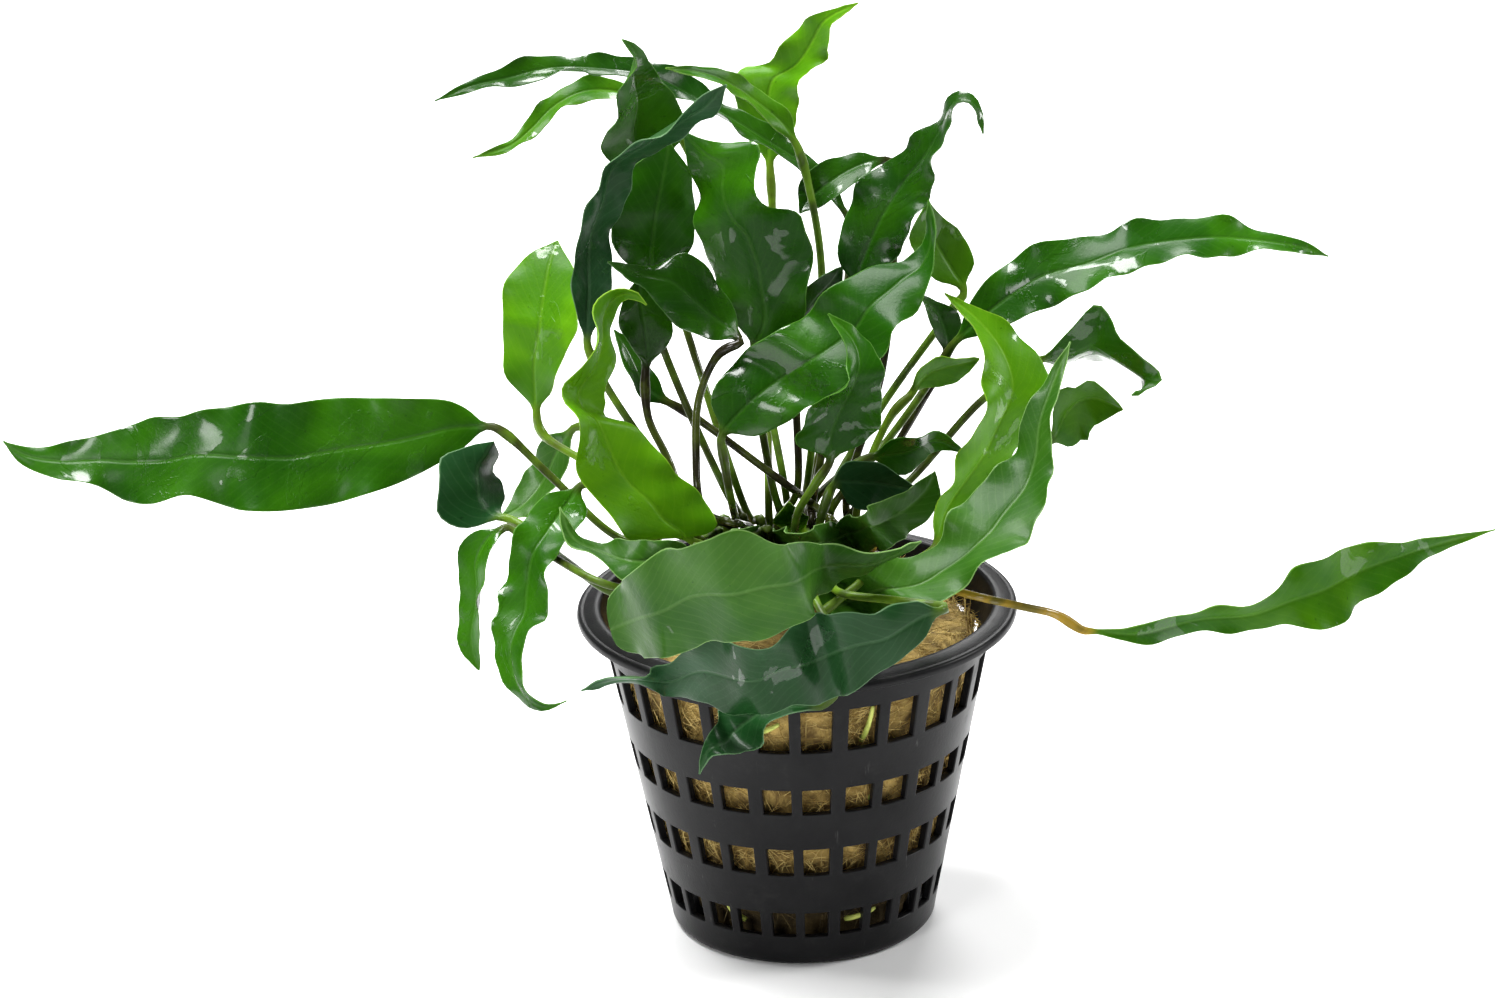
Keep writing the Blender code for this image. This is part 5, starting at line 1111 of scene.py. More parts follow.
@dataclass
class Foliage:
    """All the leaves: their seats on the rhizome, and the room they give each other."""

    seat_rows: tuple = (-62.0, -18.0, 26.0, 70.0)
    seat_start: float = 0.1
    seat_span: float = 0.8
    seat_gap: float = 0.45
    clearance: float = 0.65
    rounds: int = 320
    push: float = 0.55
    freedom: tuple = (0.0, 0.35, 0.7)
    reach: float = 1.5
    step: float = 1.6
    blade_room: float = 0.25
    lip_room: float = 0.2
    lip_marks: int = 240
    solid_blade: float = 0.6
    solid_stalk: float = 0.6
    leaves: list = field(default_factory=list)

    def seats(self) -> dict:
        """Give every leaf its own place on the rhizome, in the order in which they spread.

        Returns:
            For each leaf's name, the seat and the direction in which the stalk leaves.
        """
        stem = Rhizome()
        order = sorted(self.leaves, key=lambda leaf: leaf.stalk[0][0])
        rows = len(self.seat_rows)
        columns = -(-len(order) // rows)
        places = {}
        for column in range(columns):
            group = order[column * rows:(column + 1) * rows]
            group.sort(key=lambda leaf: -leaf.stalk[0][2])
            for row, leaf in enumerate(group):
                place = column + 0.5 * (row % 2)
                share = self.seat_start + self.seat_span * place / (columns - 0.5)
                middle, radius = stem.run(share)
                angle = radians(self.seat_rows[row])
                out = unit(np.array((0.12 * (share - 0.5), sin(angle), cos(angle))))
                places[leaf.name] = (middle[0] + out * (radius + self.seat_gap), out)
        return places

    def rim_marks(self) -> np.ndarray:
        """Mark the pot's lip by board places, which leaves also keep clear of."""
        angles = np.linspace(0, 2 * pi, self.lip_marks, endpoint=False)
        marks = []
        for radius in np.linspace(NetPot.mouth_radius, NetPot.rim_radius, 4):
            height = np.full(self.lip_marks, POT_HEIGHT - NetPot.lip_thickness / 2)
            marks.append(np.column_stack((radius * np.cos(angles), radius * np.sin(angles), height)))
        return to_board(np.vstack(marks))

    def gather(self) -> tuple:
        """Collect samples of all the leaves and the lip.

        Returns:
            Board places, each one's owner, step and room, and each leaf's first step.
        """
        samples, owner, step, room, starts, offset = [], [], [], [], [], 0
        for index, leaf in enumerate(self.leaves):
            starts.append(offset)
            count = len(leaf.left)
            blade = np.arange(count) >= leaf.stalk_count
            for part in (0.0, 0.25, 0.5, 0.75, 1.0):
                samples.append(leaf.left * (1 - part) + leaf.right * part)
                owner.append(np.full(count, index))
                step.append(offset + np.arange(count))
                room.append(np.where(blade, self.solid_blade / 2 + self.blade_room, self.solid_stalk))
            offset += count
        marks = self.rim_marks()
        samples.append(marks)
        owner.append(np.full(len(marks), -1))
        step.append(np.full(len(marks), offset))
        room.append(np.full(len(marks), NetPot.lip_thickness / 2 + self.lip_room))
        starts.append(offset)
        return tuple(np.concatenate(part) for part in (samples, owner, step, room)) + (starts,)

    def settle(self) -> None:
        """Slide crossing leaves along the line of sight until they clear each other.

        Samples that cover each other in the picture make a pair. The leaf that is nearer
        on the whole stays so; each round moves every step by the largest push on it, and
        softens the moves along each leaf. Seats and the lip don't move.
        """
        samples, owner, step, room, starts = self.gather()
        offset = starts[-1]
        flat = samples.copy()
        flat[:, 2] = 0.0
        tree = KDTree(len(flat))
        for index, place in enumerate(flat):
            tree.insert(place, index)
        tree.balance()
        pairs = []
        for index in np.flatnonzero(owner >= 0):
            pairs += [(index, other) for _, other, _ in tree.find_range(flat[index], self.reach)
                      if owner[other] < owner[index]]
        one, two = np.array(pairs).T
        couple = owner[one] * (len(self.leaves) + 1) + owner[two] + 1
        order = np.zeros(couple.max() + 1)
        np.add.at(order, couple, samples[one, 2] - samples[two, 2])
        sign = np.where(order[couple] >= 0, 1.0, -1.0)
        need = room[one] + room[two] + self.clearance
        free = np.ones(offset + 1)
        free[offset] = 0.0
        for begin in starts[:-1]:
            free[begin:begin + len(self.freedom)] = self.freedom
        shift = np.zeros(offset + 1)
        for _ in range(self.rounds):
            apart = sign * (samples[one, 2] + shift[step[one]] - samples[two, 2] - shift[step[two]])
            push = np.maximum(need - apart, 0.0) * self.push
            forward, back = np.zeros(offset + 1), np.zeros(offset + 1)
            for side, ahead in ((one, sign > 0), (two, sign < 0)):
                np.maximum.at(forward, step[side], np.where(ahead, push, 0.0))
                np.maximum.at(back, step[side], np.where(ahead, 0.0, push))
            move = (forward - back) * free
            for begin, end in zip(starts[:-1], starts[1:]):
                move[begin:end] = soften(move[begin:end], 2)
            shift += move
        for leaf, begin in zip(self.leaves, starts):
            slide = shift[begin:begin + len(leaf.left)]
            leaf.left[:, 2] += slide
            leaf.right[:, 2] += slide

    def build(self) -> None:
        """Lay out, settle and build every leaf."""
        self.leaves = [Leaf(*row, habit=HABITS[row[0]]) for row in LEAVES]
        places = self.seats()
        for leaf in self.leaves:
            leaf.lay_out(*places[leaf.name], self.step)
        self.settle()
        skins = {green: finish.material() for green, finish in FINISHES.items()}
        for leaf in self.leaves:
            leaf.build(skins[leaf.habit.green], SLOTS[leaf.name])


@dataclass(frozen=True)
class PotPlastic:
    """Charcoal moulded plastic: satin, lightly scuffed, with faint pale patches."""

    name: str = "charcoal_moulded_plastic"

    def material(self) -> bpy.types.Material:
        """Build it from a broad tone, thin upright scuffs and a fine mould grain.

        Returns:
            The material.
        """
        shader = Shader(self.name)
        tone = shader.ramp(shader.noise(60.0, 4.0, rough=0.6), 0.3, 0.75)
        colour = shader.mix(tone, (0.004, 0.004, 0.0045), (0.010, 0.010, 0.0105))
        upright = shader.stretched(900.0, 900.0, 90.0)
        scuffs = shader.ramp(shader.noise(1.0, 3.0, 0.7, 0.3, upright), 0.63, 0.72)
        patch = shader.ramp(shader.noise(130.0, 3.0, rough=0.6), 0.5, 0.68)
        scuffs = shader.times(scuffs, patch)
        colour = shader.tint(colour, (0.06, 0.06, 0.058), scuffs, 0.6)
        bloom = shader.ramp(shader.noise(260.0, 5.0, rough=0.7, twist=0.5), 0.52, 0.75)
        colour = shader.tint(colour, (0.03, 0.03, 0.028), bloom, 0.2)
        rough = shader.plus(shader.times(bloom, 0.14),
                            shader.plus(shader.times(scuffs, 0.12), 0.33))
        height = shader.plus(shader.times(shader.noise(3200.0, 2.0, rough=0.5), 0.4),
                             shader.times(shader.noise(300.0, 2.0, rough=0.5), 0.6))
        height = shader.minus(height, shader.times(scuffs, 0.5))
        shader.bump(height, 0.04 * MM)
        return shader.dress(colour=colour, roughness=rough, specular=0.1)


@dataclass
class NetPot:
    """The tub, turned from a closed profile, with windows cut through its wall.

    Lengths are in millimetres and angles in degrees.
    """

    rim_radius: float = 29.0
    mouth_radius: float = 25.8
    foot_radius: float = 17.4
    foot_rounding: float = 1.5
    wall: float = 1.1
    floor: float = 1.4
    lip_thickness: float = 1.3
    lip_slope: float = 0.5
    window_pairs: int = 13
    window_angle: float = 9.6
    bar_angle: float = 3.6
    first_bar: float = -91.5
    window_rows: tuple = ((4.6, 8.3), (14.3, 18.3), (23.8, 27.5), (33.3, 39.4))
    wall_top: float = 42.6
    hub_radius: float = 0.6
    floor_slot: tuple = (7.5, 12.5)
    edge: float = 0.2
    window_columns: int = 5
    bar_columns: int = 3

    def outer(self, height: float) -> float:
        """Give the outer radius of the tapered wall at a height."""
        return self.foot_radius + (self.mouth_radius + 0.5 - self.foot_radius) * height / POT_HEIGHT

    def wall_rows(self, levels: list, last: float, inset: float) -> list:
        """Give the wall's rows: one at each level, and two between rows of windows.

        Args:
            levels: Heights of the windows' edges, in the profile's order.
            last: Height at which this run of the wall ends.
            inset: How far inside the outer surface it lies.

        Returns:
            Radius and height of each row.
        """
        rows = []
        for index, (here, there) in enumerate(zip(levels, levels[1:] + [last])):
            rows.append((self.outer(here) - inset, here))
            if index % 2:
                rows += [(self.outer(z) - inset, z) for z in np.linspace(here, there, 4)[1:-1]]
        return rows

    def profile(self) -> tuple:
        """Draw the closed profile, and pair its outer and inner rows for each window.

        It runs from under the floor out over a rounded foot, up the wall with rows at the
        windows' edges, over the lip with its two small ribs, down the inside and in along
        the floor.

        Returns:
            Radius and height of each row, and the pairs of rows.
        """
        bend = np.linspace(0, pi / 2, 6)
        foot = [(self.outer(1.6) - self.foot_rounding * (1 - sin(a)) + 0.02,
                 self.foot_rounding * (1 - cos(a))) for a in bend]
        levels = [z for row in self.window_rows for z in row]
        slot_in, slot_out = self.floor_slot
        below = [(self.hub_radius, 0.0), (slot_in, 0.0), (slot_out, 0.0)]
        top, low = POT_HEIGHT, POT_HEIGHT - self.lip_thickness - self.lip_slope
        rim, mouth = self.rim_radius, self.mouth_radius
        lip = [(self.outer(self.wall_top), self.wall_top),
               (self.outer(43) + 0.35, low - 0.12), (rim - 1.2, low + 0.02),
               (rim - 0.45, low + 0.06), (rim - 0.1, low + 0.25), (rim, low + 0.6),
               (rim - 0.08, top - 0.72), (rim - 0.3, top - 0.5), (rim - 0.7, top - 0.42),
               (rim - 0.95, top - 0.52), (rim - 1.25, top - 0.4), (mouth + 1.1, top - 0.08),
               (mouth + 0.6, top), (mouth + 0.25, top - 0.06), (mouth + 0.03, top - 0.3),
               (mouth, top - 0.7)]
        above = [(self.outer(self.floor) - self.wall, self.floor), (slot_out, self.floor),
                 (slot_in, self.floor), (self.hub_radius, self.floor)]
        rows = (below + foot + self.wall_rows(levels, self.wall_top, 0.0) + lip
                + self.wall_rows(levels[::-1], self.floor, self.wall) + above)
        find = {(round(r, 5), round(z, 5)): index for index, (r, z) in enumerate(rows)}
        pairs = [(find[(slot_in, 0.0)], find[(slot_in, self.floor)])]
        for base, _ in self.window_rows:
            pairs.append((find[(round(self.outer(base), 5), round(base, 5))],
                          find[(round(self.outer(base) - self.wall, 5), round(base, 5))]))
        return np.array(rows), pairs

    def columns(self) -> tuple:
        """Place the columns of vertices round the tub.

        Returns:
            Their angles in radians, and which of them begin a cell inside a window.
        """
        pitch = 360.0 / self.window_pairs
        edges, kinds = [], []
        for pair in range(self.window_pairs):
            begin = self.first_bar + pair * pitch - self.bar_angle / 2
            spans = ((self.bar_angle, self.bar_columns, False),
                     (self.window_angle, self.window_columns, True),
                     (pitch - self.bar_angle - 2 * self.window_angle, self.bar_columns, False),
                     (self.window_angle, self.window_columns, True))
            for span, parts, opening in spans:
                edges += list(begin + span * np.arange(parts) / parts)
                kinds += [opening] * parts
                begin += span
        return np.radians(edges), np.array(kinds)

    def build(self) -> None:
        """Turn the profile round the axis, cut the windows and round their edges.

        A place is (radius cos angle, radius sin angle, height). Cells inside a window are
        left out, and each window's loop on the outside is joined to that on the inside.
        """
        rows, pairs = self.profile()
        angles, opening = self.columns()
        count = len(angles)
        places = np.stack((rows[:, :1] * np.cos(angles), rows[:, :1] * np.sin(angles),
                           np.broadcast_to(rows[:, 1:], (len(rows), count))), axis=-1)
        number = np.arange(len(rows) * count).reshape(len(rows), count)
        after = np.roll(number, -1, axis=1)
        cells = np.stack((number[:-1], after[:-1], after[1:], number[1:]), axis=-1)
        keep = np.ones(cells.shape[:2], dtype=bool)
        for out_row, in_row in pairs:
            keep[out_row, opening] = False
            keep[in_row - 1, opening] = False
        faces = cells[keep].tolist()
        faces.append(number[0][::-1].tolist())
        faces.append(number[-1].tolist())
        starts = np.flatnonzero(opening & ~np.roll(opening, 1))
        span = np.arange(self.window_columns + 1)
        for out_row, in_row in pairs:
            cols = (starts[:, None] + span) % count
            back = cols[:, ::-1]
            ring_out = np.concatenate((number[out_row][cols], number[out_row + 1][back]), axis=1)
            ring_in = np.concatenate((number[in_row][cols], number[in_row - 1][back]), axis=1)
            jamb = np.stack((ring_out, np.roll(ring_out, -1, axis=1),
                             np.roll(ring_in, -1, axis=1), ring_in), axis=-1)
            faces += jamb.reshape(-1, 4).tolist()
        piece = add_mesh("slotted_tub", places, faces, PotPlastic().material(), 40.0)
        bevel = piece.modifiers.new("rounded_edges", "BEVEL")
        bevel.width = self.edge * MM
        bevel.segments = 2
        bevel.limit_method = "ANGLE"
        bevel.angle_limit = radians(50)
        hand_over(piece, "pot_plastic", "net_pot")


@dataclass(frozen=True)
class WoolFinish:
    """Golden-brown mineral wool, with painted shade darkening it towards the bottom of the tub."""

    name: str = "brown_mineral_wool"

    def material(self, fibre: bool) -> bpy.types.Material:
        """Build it from two noises, darkened by height as painted shade.

        Args:
            fibre: Whether it is for the loose fibres, which are paler.

        Returns:
            The material.
        """
        shader = Shader(self.name + ("_fibre" if fibre else ""))
        place = shader.node("ShaderNodeTexCoord").outputs["Object"]
        parts = shader.node("ShaderNodeSeparateXYZ")
        shader.link(place, parts.inputs["Vector"])
        blotch = shader.ramp(shader.noise(180.0, 5.0, rough=0.65, twist=0.8), 0.35, 0.68)
        colour = shader.mix(blotch, (0.12, 0.075, 0.022), (0.52, 0.36, 0.11))
        if fibre:
            strand = shader.ramp(shader.noise(600.0, 1.0), 0.4, 0.6)
            colour = shader.mix(strand, (0.32, 0.21, 0.06), (0.75, 0.56, 0.20))
        # Painted shade: the wool turns nearly black towards the bottom of the tub, where shade falls.
        deep = shader.ramp(parts.outputs["Z"], 0.006, 0.018, 1.0, 0.0)
        colour = shader.tint(colour, (0.02, 0.016, 0.01), deep, 0.85)
        strands = shader.noise(1.0, 4.0, 0.7, 1.0, shader.stretched(1500.0, 1500.0, 500.0))
        shader.bump(strands, 0.3 * MM)
        return shader.dress(colour=colour, roughness=0.9, specular=0.25)


@dataclass
class WoolPlug:
    """Mineral wool pressed into the tub: a rough plug and its loose fibres."""

    pot: NetPot
    clearance: float = 0.5
    edge_top: float = 40.5
    top: float = 42.3
    edge_share: float = 0.7
    crown_share: float = 0.3
    lumps: tuple = ((0.9, 4.5, 1), (0.5, 1.8, 2), (0.28, 0.8, 3))
    rings: int = 150
    columns: int = 330
    fibres: int = 7000
    fibre_radius: float = 0.055

    def radius(self, height: np.ndarray) -> np.ndarray:
        """Give the radius of the plug's side at a height."""
        return self.pot.outer(height) - self.pot.wall - self.clearance

    def surface(self, turn: np.ndarray, share: np.ndarray) -> np.ndarray:
        """Work out places of the plug's skin.

        Going up by share, the radius follows the tub's taper to the edge, and then shrinks
        along the low crown to the middle.

        Args:
            turn: Angles about the axis.
            share: 0 at the bottom, edge_share at the edge of the top, 1 at its middle.

        Returns:
            X, Y and Z in millimetres, in the last axis.
        """
        side = np.clip(share / self.edge_share, 0, 1)
        height = self.pot.floor + 0.4 + (self.edge_top - self.pot.floor - 0.4) * side
        crown = np.clip((share - self.edge_share) / self.crown_share, 0, 1)
        radius = self.radius(height) * (1 - 0.985 * crown**1.4)
        height = height + (self.top - self.edge_top) * np.sin(crown * pi / 2) - 0.9 * soft_step(
            np.clip(1 - np.abs(share - self.edge_share) / 0.04, 0, 1))
        return np.stack((radius * np.cos(turn), radius * np.sin(turn), height), axis=-1)

    def build(self) -> None:
        """Build the plug from its skin roughened by three noises, and its fibres."""
        share = np.linspace(0, 1, self.rings)[:, None] + np.zeros(self.columns)
        turn = np.linspace(0, 2 * pi, self.columns, endpoint=False) + np.zeros((self.rings, 1))
        places = self.surface(turn, share)
        rough = layered_noise(places, self.lumps)
        shrink = 0.7 - 0.55 * rough + 1.6 * soft_step((9.0 - places[..., 2]) / 4.0)
        flat = places * np.array((1.0, 1.0, 0.0))
        out = flat / (np.linalg.norm(flat, axis=-1, keepdims=True) + 0.5)
        crown = np.clip((share - 0.68) / 0.06, 0, 1)[..., None]
        places = places - out * shrink[..., None] * (1 - 0.8 * crown)
        places[..., 2] += 0.55 * rough * crown[..., 0]
        piece = add_mesh("wool_body", places, tube_faces(self.rings, self.columns),
                         WoolFinish().material(False), ALL_SMOOTH)
        hand_over(piece, "wool", "wool_plug")
        self.build_fibres()

    def build_fibres(self) -> None:
        """Scatter thin curved fibres over the plug's skin.

        Each fibre is a three-sided tube of five stations. It sets out along the skin and
        bends by a random amount; near the top it also rises a little.
        """
        draw = np.random.default_rng(11)
        count, stations = self.fibres, 5
        turn = draw.uniform(0, 2 * pi, count)
        share = np.where(draw.random(count) < 0.62, draw.uniform(0.12, 0.72, count),
                         self.edge_share + self.crown_share * draw.random(count) ** 1.6)
        start = self.surface(turn, share)
        crown = soft_step((share - 0.66) / 0.06)
        out = unit(np.column_stack((np.cos(turn), np.sin(turn), np.zeros(count))))
        up = np.column_stack((np.zeros(count), np.zeros(count), np.ones(count)))
        facing = unit(out * (1 - crown)[:, None] + up * crown[:, None])
        loose = draw.normal(size=(count, 3))
        along = unit(loose - facing * (loose * facing).sum(axis=1, keepdims=True))
        side = np.cross(facing, along)
        length = draw.uniform(2.5, 8.0, count)
        curl = draw.uniform(-0.7, 0.7, count)
        rise = draw.uniform(0.0, 0.28, count) * crown
        k = np.linspace(0, 1, stations)[None, :, None]
        reach = (length[:, None, None] * k)
        path = (start[:, None, :] - facing[:, None, :] * draw.uniform(0.1, 0.9, count)[:, None, None]
                + along[:, None, :] * reach + side[:, None, :] * reach * curl[:, None, None] * k
                + facing[:, None, :] * reach * rise[:, None, None])
        height = np.clip(path[..., 2], self.pot.floor + 0.5, self.top + 1.9)
        distance = np.linalg.norm(path[..., :2], axis=-1)
        limit = self.radius(height) + 0.25
        path[..., :2] *= np.minimum(1.0, limit / (distance + 1e-6))[..., None]
        path[..., 2] = height
        self.strands(path, side, facing)

    def strands(self, path: np.ndarray, side: np.ndarray, facing: np.ndarray) -> None:
        """Build three-sided tapering tubes as one piece.

        Args:
            path: The middle places of each tube.
            side: A direction across each one.
            facing: A second direction across it.
        """
        count, stations = path.shape[:2]
        taper = self.fibre_radius * np.array((0.6, 1.0, 1.0, 0.9, 0.4))[None, :, None, None]
        angles = 2 * pi * np.arange(3) / 3
        ring = (np.cos(angles)[None, :, None] * side[:, None, :]
                + np.sin(angles)[None, :, None] * facing[:, None, :])
        places = path[:, :, None, :] + taper * ring[:, None, :, :]
        pattern = np.array(tube_faces(stations, 3)[:-2])
        starts = np.arange(count)[:, None] * stations * 3
        quads = pattern[None] + starts[..., None]
        first = np.array((2, 1, 0))[None] + starts
        last = np.array((0, 1, 2))[None] + starts + 3 * (stations - 1)
        faces = quads.reshape(-1, 4).tolist() + first.tolist() + last.tolist()
        piece = add_mesh("wool_fibres", places, faces, WoolFinish().material(True), ALL_SMOOTH)
        hand_over(piece, "wool")


@dataclass(frozen=True)
class StemFinish:
    """Skin of the stem and the roots: a streaked tone with pale flecks."""

    name: str
    dark: tuple
    light: tuple
    pale: tuple

    def material(self) -> bpy.types.Material:
        """Build it from two noises.

        Returns:
            The material.
        """
        shader = Shader(self.name)
        tone = shader.ramp(shader.noise(300.0, 4.0, rough=0.6, twist=0.6), 0.35, 0.65)
        colour = shader.mix(tone, self.dark, self.light)
        fleck = shader.ramp(shader.noise(1100.0, 3.0, rough=0.65), 0.6, 0.7)
        colour = shader.tint(colour, self.pale, fleck, 0.5)
        shader.bump(shader.noise(1400.0, 4.0, rough=0.6), 0.2 * MM)
        return shader.dress(colour=colour, roughness=0.6, specular=0.35)


@dataclass
class Rhizome:
    """The thick creeping stem on the wool, and its roots."""

    points: tuple = ((-13.5, 9.6, 47.0), (-8.0, 8.2, 46.7), (-1.0, 7.4, 46.4), (6.0, 6.2, 46.7),
                     (12.5, 5.2, 47.4))
    radii: tuple = (2.2, 3.3, 3.6, 3.3, 2.0)
    root_ends: tuple = ((-10.0, 36.4, 1.0, 4.0), (27.0, 25.8, 0.25, 3.4), (25.0, 6.6, 1.2, 4.4),
                        (-31.0, 7.0, -0.5, 3.6), (22.0, 36.2, 0.12, 6.0))
    scar_spacing: float = 2.9
    lumps: tuple = ((0.35, 2.2, 21), (0.18, 0.9, 22))
    stations: int = 110
    sides: int = 56
    root_count: int = 12
    root_depth: float = 40.2
    root_stations: int = 22
    root_sides: int = 10

    def run(self, share: float) -> tuple:
        """Give the middle and radius of the stem at a share of its length."""
        middle = smooth_path(self.points, np.atleast_1d(share))
        return middle, np.interp(share, np.linspace(0, 1, len(self.radii)), self.radii)

    def build(self) -> None:
        """Build the stem, its roots and their young ends.

        The stem is a run of rings whose radius follows the stem's, rounds off at both
        ends by a square root, dips at each leaf scar and is roughened by two noises.
        """
        share = np.linspace(0.0, 1.0, self.stations)
        middle, radius = self.run(share)
        length = path_length(middle)
        ends = np.sqrt(np.clip(1 - (2 * share - 1) ** 16, 0.0, 1.0))
        radius = radius * 0.93 * np.maximum(ends, 0.03)
        angles = 2 * pi * np.arange(self.sides) / self.sides
        scar = np.abs(np.sin(pi * share * length / self.scar_spacing))[:, None]
        swirl = 0.25 * np.sin(angles[None, :] * 2 + 9 * share[:, None])
        ring = np.column_stack((np.zeros(self.sides), np.cos(angles), np.sin(angles)))
        base = middle[:, None, :] + radius[:, None, None] * ring
        rough = layered_noise(base, self.lumps)
        reach = radius[:, None] * (0.9 + 0.1 * scar**0.5) + (rough + swirl) * ends[:, None] * 0.8
        places = middle[:, None, :] + reach[..., None] * ring
        finish = StemFinish("stem_bark", (0.018, 0.014, 0.007), (0.06, 0.055, 0.02), (0.21, 0.17, 0.09))
        piece = add_mesh("creeping_stem", places, tube_faces(self.stations, self.sides),
                         finish.material(), ALL_SMOOTH)
        hand_over(piece, "rhizome", "rhizome")
        self.build_roots()
        self.build_root_ends()

    def build_roots(self) -> None:
        """Build the roots from under the stem into the wool, on soft curves."""
        draw = np.random.default_rng(5)
        finish = StemFinish("root_skin", (0.11, 0.07, 0.03), (0.30, 0.22, 0.10), (0.5, 0.42, 0.25))
        skin = finish.material()
        for index in range(self.root_count):
            share = 0.08 + 0.84 * index / (self.root_count - 1)
            middle, radius = self.run(share)
            side = 1.0 if index % 2 else -1.0
            start = middle[0] + np.array((0.0, side * 0.55 * float(radius), -0.6 * float(radius)))
            out = np.array((draw.uniform(-3, 3), side * draw.uniform(3.5, 9.0), 0.0))
            bend = start + 0.55 * out + np.array((0.0, 0.0, 0.5))
            end = start + out
            end[2] = self.root_depth
            route = smooth_path((start, bend, end), np.linspace(0, 1, self.root_stations))
            self.add_root("root_%02d" % (index + 1), route, (0.62, 0.4), skin)

    def build_root_ends(self) -> None:
        """Build the young pale root ends that reach the tub's windows.

        Each is given by its angle from the front, its height, its slant and its length,
        and lies just inside the tub's wall.
        """
        pot = NetPot()
        skin = StemFinish("young_root_skin", (0.22, 0.27, 0.04), (0.50, 0.55, 0.12),
                          (0.70, 0.72, 0.30)).material()
        for index, (turn, height, slant, length) in enumerate(self.root_ends):
            share = np.linspace(-0.5, 0.5, self.root_stations)
            level = height + length * share * cos(slant)
            angle = radians(turn) + length * share * sin(slant) / pot.outer(height)
            radius = pot.outer(level) - pot.wall + 0.35 - 2.2 * (share - 0.35) ** 2
            route = np.column_stack((radius * np.sin(angle), -radius * np.cos(angle), level))
            self.add_root("root_end_%d" % (index + 1), route, (0.42, 0.26), skin)

    def add_root(self, name: str, route: np.ndarray, radii: tuple,
                 skin: bpy.types.Material) -> None:
        """Build one tapering root and hand it over.

        Args:
            name: The piece's name.
            route: Its middle places.
            radii: Its radius at the first and the last of them.
            skin: Its material.
        """
        radius = np.linspace(*radii, self.root_stations)
        hand_over(tube(name, route, radius, self.root_sides, skin), "rhizome")


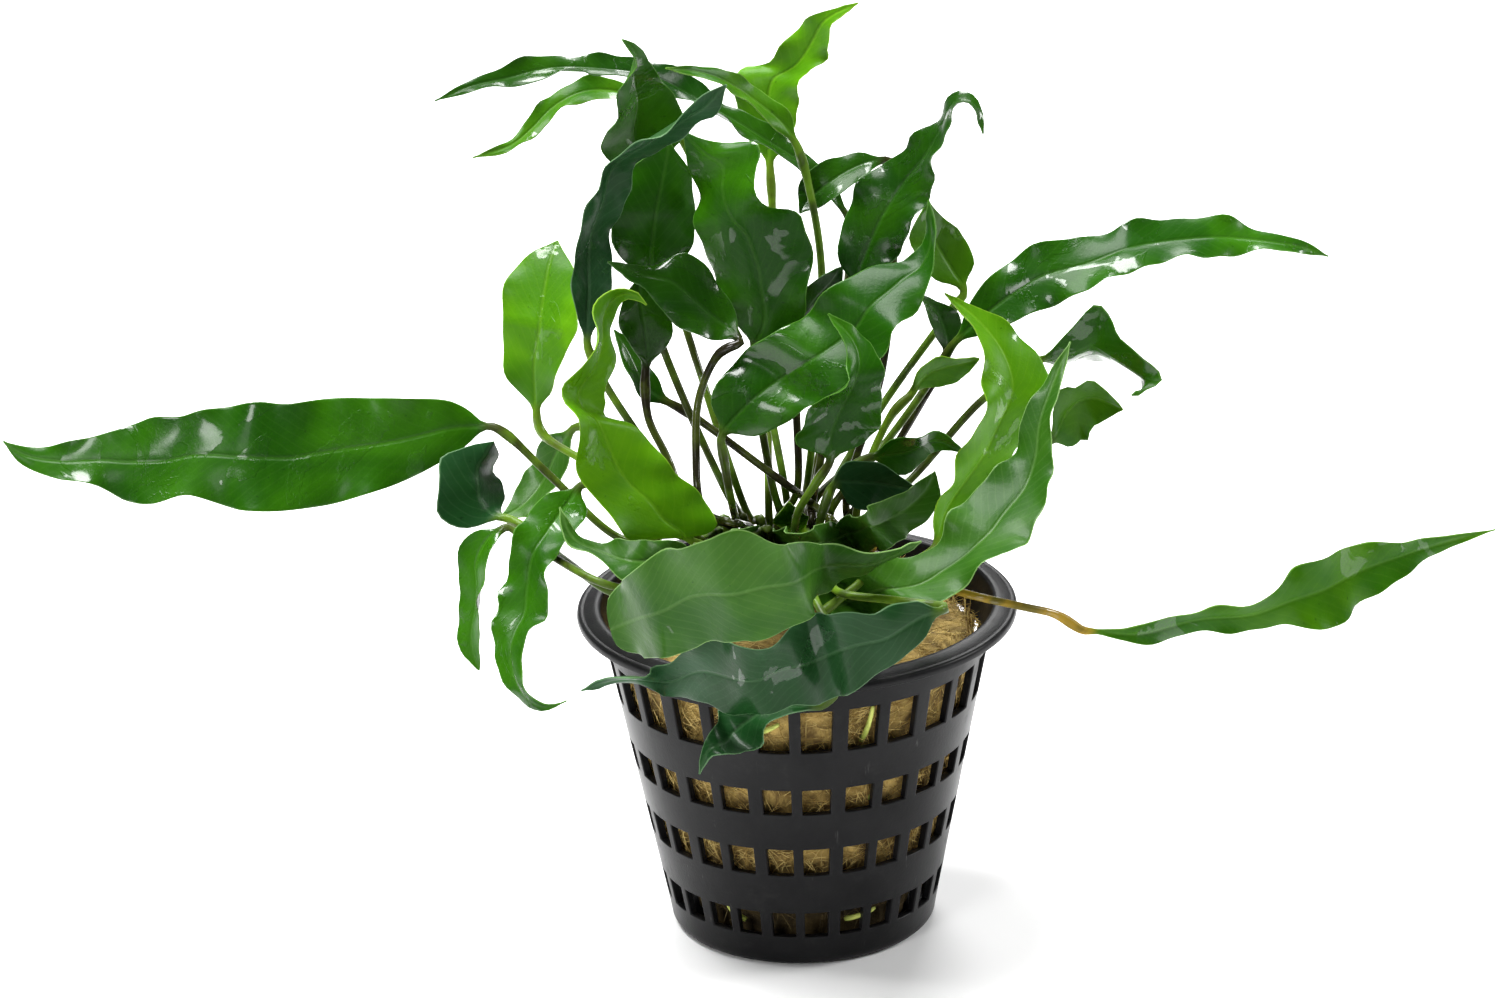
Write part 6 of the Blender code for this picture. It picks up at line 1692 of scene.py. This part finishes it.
@dataclass
class Studio:
    """The floor, the soft lights and the camera at the photograph's angle.

    Each light is given by its name, its place, its size and its power.
    """

    lights: tuple = (("key", (-0.3, 0.1, 0.95), 0.55, 26.0),
                     ("front", (-0.5, -0.8, 0.6), 0.3, 3.5),
                     ("right", (0.8, 0.1, 0.5), 0.3, 6.0),
                     ("back", (0.1, 0.8, 0.7), 0.5, 9.0))
    aim: tuple = (0.0, 0.0, 0.06)
    sky_strength: float = 0.12
    floor_rings: int = 60
    floor_spokes: int = 96
    floor_radii: tuple = (0.02, 0.1, 4.0)
    floor_rise: tuple = (1.3, 2.7, 2.2)
    lens: float = 120.0
    eye: tuple = (0.0, -0.610708, 0.290271)
    yaw: float = radians(-0.543)
    pitch: float = radians(20.722)
    roll: float = radians(-1.522)

    def floor(self) -> None:
        """Build a wide pale dish, flat under the plant and rising softly far out."""
        rings, spokes = self.floor_rings, self.floor_spokes
        hub, first, last = self.floor_radii
        start, length, rise = self.floor_rise
        reach = np.concatenate(((hub,), np.linspace(first, last, rings - 1)))[:, None]
        turn = np.linspace(0.0, 2 * pi, spokes, endpoint=False)[None, :]
        height = rise * soft_step((reach - start) / length)
        places = np.stack(np.broadcast_arrays(reach * np.cos(turn), reach * np.sin(turn), height),
                          axis=-1)
        number = np.arange(rings * spokes).reshape(rings, spokes)
        after = np.roll(number, -1, axis=1)
        cells = np.stack((number[:-1], number[1:], after[1:], after[:-1]), axis=-1)
        faces = cells.reshape(-1, 4).tolist()
        faces.append(number[0].tolist())
        shader = Shader("pale_floor")
        shade = shader.ramp(shader.noise(3.0, 2.0), 0.2, 0.8)
        colour = shader.mix(shade, (0.80, 0.80, 0.80), (0.84, 0.84, 0.84))
        piece = add_mesh("floor", places * 1000, faces, shader.dress(colour=colour, roughness=0.75))

    def light(self, name: str, place: tuple, size: float, power: float) -> None:
        """Add a square soft light aimed at the plant.

        Args:
            name: The light's name.
            place: Its place in metres.
            size: Its side in metres.
            power: Its power in watts.
        """
        lamp = bpy.data.lights.new(name, "AREA")
        lamp.shape = "SQUARE"
        lamp.size = size
        lamp.energy = power
        item = bpy.data.objects.new(name, lamp)
        item.location = place
        towards = Vector(self.aim) - Vector(place)
        item.rotation_euler = towards.to_track_quat("-Z", "Y").to_euler()
        bpy.context.scene.collection.objects.link(item)

    def build(self) -> None:
        """Set out the floor, lights, pale surroundings and camera."""
        self.floor()
        for row in self.lights:
            self.light(*row)
        world = bpy.data.worlds.new("pale_room")
        bpy.context.scene.world = world
        world.use_nodes = True
        sky = world.node_tree.nodes["Background"]
        sky.inputs["Color"].default_value = (1.0, 1.0, 1.0, 1.0)
        sky.inputs["Strength"].default_value = self.sky_strength
        bpy.context.scene.view_settings.view_transform = "Standard"
        self.place_camera()

    def place_camera(self) -> None:
        """Stand the camera at the eye, turned by its yaw, pitch and roll."""
        level = cos(self.pitch)
        ahead = Vector((sin(self.yaw) * level, cos(self.yaw) * level, -sin(self.pitch)))
        right = ahead.cross(Vector((0, 0, 1))).normalized()
        above = right.cross(ahead)
        turned = cos(self.roll) * right + sin(self.roll) * above
        over = cos(self.roll) * above - sin(self.roll) * right
        camera = bpy.data.cameras.new("camera")
        camera.lens = self.lens
        camera.sensor_width = 36.0
        camera.clip_start = 0.01
        item = bpy.data.objects.new("camera", camera)
        turning = Matrix((turned, over, -ahead)).transposed().to_4x4()
        item.matrix_world = Matrix.Translation(self.eye) @ turning
        bpy.context.scene.collection.objects.link(item)
        bpy.context.scene.camera = item


def main() -> None:
    """Build the pot, its wool, the stem, the leaves and the studio, in that order."""
    logging.basicConfig(level=logging.INFO, format="%(name)s: %(message)s")
    pot = NetPot()
    pot.build()
    WoolPlug(pot).build()
    Rhizome().build()
    Foliage().build()
    Studio().build()


if __name__ == "__main__":
    main()
